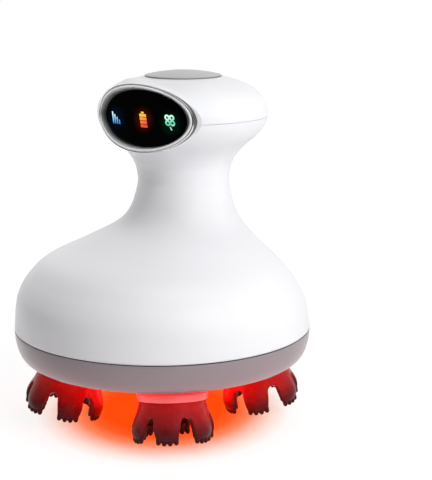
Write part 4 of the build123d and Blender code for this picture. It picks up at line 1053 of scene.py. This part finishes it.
def make_glow_material(name, base, glow, strength, roughness):
    made, tree, main = shader(name, Emission_Strength=strength, Coat_Weight=0.3)
    main.inputs["Emission Color"].default_value = (*glow, 1)
    finish_surface(tree, main, 150.0, (tuple(0.9 * c for c in base), base), roughness, 0.04)
    return made


def make_icon_material(name, stops, strength):
    """Lit from behind: the colour runs from the bottom right to the top left of the icon."""
    made, tree, main = shader(name, Emission_Strength=strength, Roughness=0.4)
    main.inputs["Base Color"].default_value = (0.01, 0.01, 0.01, 1)
    place = axes(tree, "Generated")
    mix = multiply_add(tree, place["X"], -0.25, place["Z"])
    tree.links.new(ramp(tree, mix, stops), main.inputs["Emission Color"])
    return made


def make_window_material():
    """Black glass with a faint halo of light behind each icon."""
    made, tree, main = shader("window_black", IOR=1.5, Roughness=0.04, Specular_IOR_Level=0.04)
    main.inputs["Base Color"].default_value = (0.001, 0.001, 0.0012, 1)
    main.inputs["Emission Strength"].default_value = 1.0
    where = add(tree, "ShaderNodeTexCoord")
    total = None
    halos = {"bars": (0.0, 0.003, 0.012), "battery": (0.030, 0.003, 0.0), "clover": (0.0, 0.008, 0.003)}
    for name, colour in halos.items():
        shift = vector_math(tree, "SUBTRACT", where.outputs["Object"], on_window(*ICON_PLACE[name]))
        length = vector_math(tree, "LENGTH", shift.outputs[0])
        fade = map_range(tree, length.outputs["Value"], 1.5 * MM, 6.2 * MM, 1.0, 0.0,
                         interpolation_type="SMOOTHERSTEP")
        tint = vector_math(tree, "SCALE", colour)
        tree.links.new(fade, tint.inputs["Scale"])
        if total is None:
            total = tint.outputs[0]
        else:
            total = vector_math(tree, "ADD", total, tint.outputs[0]).outputs[0]
    tree.links.new(total, main.inputs["Emission Color"])
    return made


CLAW = make_claw_material()
RIM = make_rim_material()
FUNNEL = make_funnel_painted_shade_material()
BUTTON = make_button_material()
# The cores' glow is painted light: emission standing in for the red light of the massager's LEDs on them.
CORE = make_glow_material("core_red", (0.68, 0.11, 0.115), (1.0, 0.09, 0.095), 0.45, (0.3, 0.4))
FLOOR_RED = make_glow_material("clear_red", (0.8, 0.1, 0.04), (1.0, 0.08, 0.02), 1.2, (0.2, 0.3))
LED = make_glow_material("led_red", (0.9, 0.1, 0.05), (1.0, 0.1, 0.04), 3.0, (0.3, 0.4))
BLUE = make_icon_material("icon_blue", [(0.0, (0.03, 0.24, 0.62)), (0.3, (0.16, 0.56, 0.88)),
                                        (0.8, (0.75, 0.95, 1.0))], 1.15)
AMBER = make_icon_material("icon_amber", [(0.0, (0.8, 0.06, 0.02)), (0.3, (1.0, 0.18, 0.02)),
                                          (0.55, (1.0, 0.42, 0.03)), (0.85, (1.0, 0.62, 0.10))], 1.0)
GREEN = make_icon_material("icon_green", [(0.0, (0.5, 0.75, 0.65)), (0.3, (0.06, 0.55, 0.3)),
                                          (0.8, (0.6, 1.0, 0.82))], 1.1)
WINDOW = make_window_material()


def wear(objects, made):
    """Gives the scene's own pieces one material."""
    for obj in objects:
        obj.data.materials.clear()
        obj.data.materials.append(made)


def wear_node(name, made):
    """Gives a node that is shown as its solid one material."""
    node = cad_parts[name]
    if not node.material_slots:
        node.data.materials.append(made)
    for slot in node.material_slots:
        slot.material = made


wear([housing, cover, tray], WHITE)
for made in (CHROME, GROOVE_SEAM_AND_SHADE, BRIGHT_RING, FUNNEL):
    bezel.data.materials.append(made)
wear([window], WINDOW)
wear([button], BUTTON)
wear([rim], RIM)
wear([flap], COVER_RUBBER)
wear(claws, CLAW)
wear(cores, CORE)
wear([icons["bars"]], BLUE)
wear([icons["battery"]], AMBER)
wear([icons["clover"]], GREEN)
NODE_FINISH = {
    "seam_gasket": GASKET, "light_floor": FLOOR_RED, "red_leds": LED, "led_board": BOARD_WHITE,
    "display_board": BOARD, "switch_board": BOARD, "control_board": BOARD, "button_switch": BLACK,
    "switch_screws": STEEL, "plate_screws": STEEL, "base_screws": STEEL, "motor_can": STEEL,
    "motor_shaft": STEEL, "motor_gearbox": GREY, "drive_plate": BLACK, "battery_cradle": BLACK,
    "battery_cell": SLEEVE, "sun_gear": NYLON, "charge_socket": STEEL,
}
HEAD_FINISH = {
    "head_gear": NYLON, "head_socket": NYLON, "plug_ring": SEAL, "shaft_seal": SEAL, "shaft_bush": BRONZE,
}
for name, made in NODE_FINISH.items():
    wear_node(name, made)
for kind, made in HEAD_FINISH.items():
    for place in HEADS:
        wear_node(f"{kind}_{place}", made)


# ------------------------------------------------------------------ floor, world, lamps
FLOOR_HALF = 8
FLOOR_Z = -0.2 * MM
GLOW_PLACE = (-0.0050, 0.0062, 0)
GLOW_TURN = radians(37.6)
GLOW_SIZE = (0.0755, 0.095, 1)
FRONT_SIDE = (0.1, -0.99, 0)
FLAG_SIDE = Vector((0.30, -0.95, 0.1)).normalized()
WORLD_LIGHT = 0.05


def by_ray(tree, other, mirrored, shown):
    """One shader for the camera, one for mirrors and one for all the rest."""
    path = add(tree, "ShaderNodeLightPath")
    picked = other.outputs[0]
    for kind, choice in (("Is Glossy Ray", mirrored), ("Is Camera Ray", shown)):
        mix = feed(tree, add(tree, "ShaderNodeMixShader"), path.outputs[kind], picked, choice.outputs[0])
        picked = mix.outputs[0]
    return picked


def make_floor():
    """White, with the massager's orange light on it; mirrored, it is darker towards the front."""
    corners = [(x * FLOOR_HALF, y * FLOOR_HALF, FLOOR_Z) for x, y in ((-1, -1), (1, -1), (1, 1), (-1, 1))]
    floor = mesh_object("floor", corners, [(0, 1, 2, 3)], smooth=False)
    made = bpy.data.materials.new("floor")
    made.use_nodes = True
    tree = made.node_tree
    tree.nodes.clear()
    where = add(tree, "ShaderNodeNewGeometry")
    flat = vector_math(tree, "MULTIPLY", where.outputs["Position"], (1, 1, 0))
    radius = vector_math(tree, "LENGTH", flat.outputs[0])
    oval = add(tree, "ShaderNodeMapping", vector_type="TEXTURE")
    feed(tree, oval, flat.outputs[0], GLOW_PLACE, (0, 0, GLOW_TURN), GLOW_SIZE)
    reach = vector_math(tree, "LENGTH", oval.outputs[0])
    glow = ramp(tree, reach.outputs["Value"], [
        (0.31, (1.0, 0.075, 0.004)), (0.39, (1.0, 0.12, 0.022)), (0.465, (1.0, 0.26, 0.12)),
        (0.54, (1.0, 0.57, 0.47)), (0.60, (1.0, 0.80, 0.73)), (0.68, (1.0, 0.985, 0.975)),
        (0.80, (1.0, 1.0, 1.0))])
    paint = feed(tree, add(tree, "ShaderNodeBsdfDiffuse"), glow)
    far = map_range(tree, radius.outputs["Value"], 0.08, 0.30, 0.88, 1.0, interpolation_type="SMOOTHSTEP")
    light = feed(tree, add(tree, "ShaderNodeEmission"), glow, far)
    shade = vector_math(tree, "SCALE", glow)
    shade.inputs["Scale"].default_value = 0.18
    dim = feed(tree, add(tree, "ShaderNodeBsdfDiffuse"), shade.outputs[0])
    shown = feed(tree, add(tree, "ShaderNodeAddShader"), light.outputs[0], dim.outputs[0])
    ahead = vector_math(tree, "DOT_PRODUCT", where.outputs["Position"], FRONT_SIDE)
    room = map_range(tree, ahead.outputs["Value"], 0.10, 0.34, 0.92, 0.14, interpolation_type="SMOOTHSTEP")
    mirrored = feed(tree, add(tree, "ShaderNodeEmission"), glow, room)
    end = add(tree, "ShaderNodeOutputMaterial")
    tree.links.new(by_ray(tree, paint, mirrored, shown), end.inputs[0])
    floor.data.materials.append(made)


def make_world():
    """White to the camera; to metal a pale studio with one dark flag; faint grey light to the rest."""
    world = bpy.data.worlds.new("studio")
    bpy.context.scene.world = world
    world.use_nodes = True
    tree = world.node_tree
    tree.nodes.clear()
    where = add(tree, "ShaderNodeTexCoord")
    sky = ramp(tree, axes(tree, "Generated")["Z"], [
        (0.0, (1.0, 1.0, 1.0)), (0.35, (1.0, 1.0, 1.0)), (0.6, (0.95, 0.95, 0.96)),
        (0.85, (0.80, 0.80, 0.81))])
    towards = vector_math(tree, "DOT_PRODUCT", where.outputs["Generated"], FLAG_SIDE)
    flag = ramp(tree, towards.outputs["Value"], [(0.80, (1.0, 1.0, 1.0)), (0.93, (0.22, 0.22, 0.225))])
    shaded = vector_math(tree, "MULTIPLY", sky, flag)
    ambient = feed(tree, add(tree, "ShaderNodeBackground"), (0.98, 0.985, 1.0, 1), WORLD_LIGHT)
    mirror = feed(tree, add(tree, "ShaderNodeBackground"), shaded.outputs[0])
    white = feed(tree, add(tree, "ShaderNodeBackground"), (1, 1, 1, 1))
    end = add(tree, "ShaderNodeOutputWorld")
    tree.links.new(by_ray(tree, ambient, mirror, white), end.inputs[0])


def lamp(name, place, power, size=0.5, aim=(0, 0, 0.07), colour=(1, 1, 1)):
    """A soft round lamp that lights the object but isn't mirrored in it."""
    data = bpy.data.lights.new(name, "AREA")
    data.shape = "DISK"
    data.size = size
    data.energy = power
    data.color = colour
    obj = new_object(name, data)
    obj.location = place
    obj.rotation_mode = "QUATERNION"
    obj.rotation_quaternion = (Vector(aim) - Vector(place)).to_track_quat("-Z", "Y")
    obj.visible_camera = False
    obj.visible_glossy = False


make_floor()
make_world()
lamp("key", (0.75, -0.15, 0.55), 5.65)
lamp("top", (0.1, 0.0, 1.0), 2.6, size=0.6)
lamp("left", (-0.9, -0.1, 0.35), 2.1)
lamp("left_rim", (-0.75, 0.55, 0.3), 2.4)
lamp("right_rim", (0.6, 0.7, 0.4), 1.1)
lamp("base_lamp", (0, 0, 0.0165), 0.035, size=0.034, aim=(0, 0, 0), colour=(1.0, 0.12, 0.05))

# ------------------------------------------------------------------ camera
CAMERA_PLACE = (0.344183, -0.413064, 0.185831)
CAMERA_YAW = 37.557
CAMERA_PITCH = 12.0756
CAMERA_LENS = 105.508
camera_data = bpy.data.cameras.new("camera")
camera_data.sensor_width = 36
camera_data.lens = CAMERA_LENS
camera = new_object("camera", camera_data)
camera.location = CAMERA_PLACE
camera.rotation_euler = Euler((radians(90 - CAMERA_PITCH), 0, radians(CAMERA_YAW)))
bpy.context.scene.camera = camera
bpy.context.scene.view_settings.view_transform = "Standard"
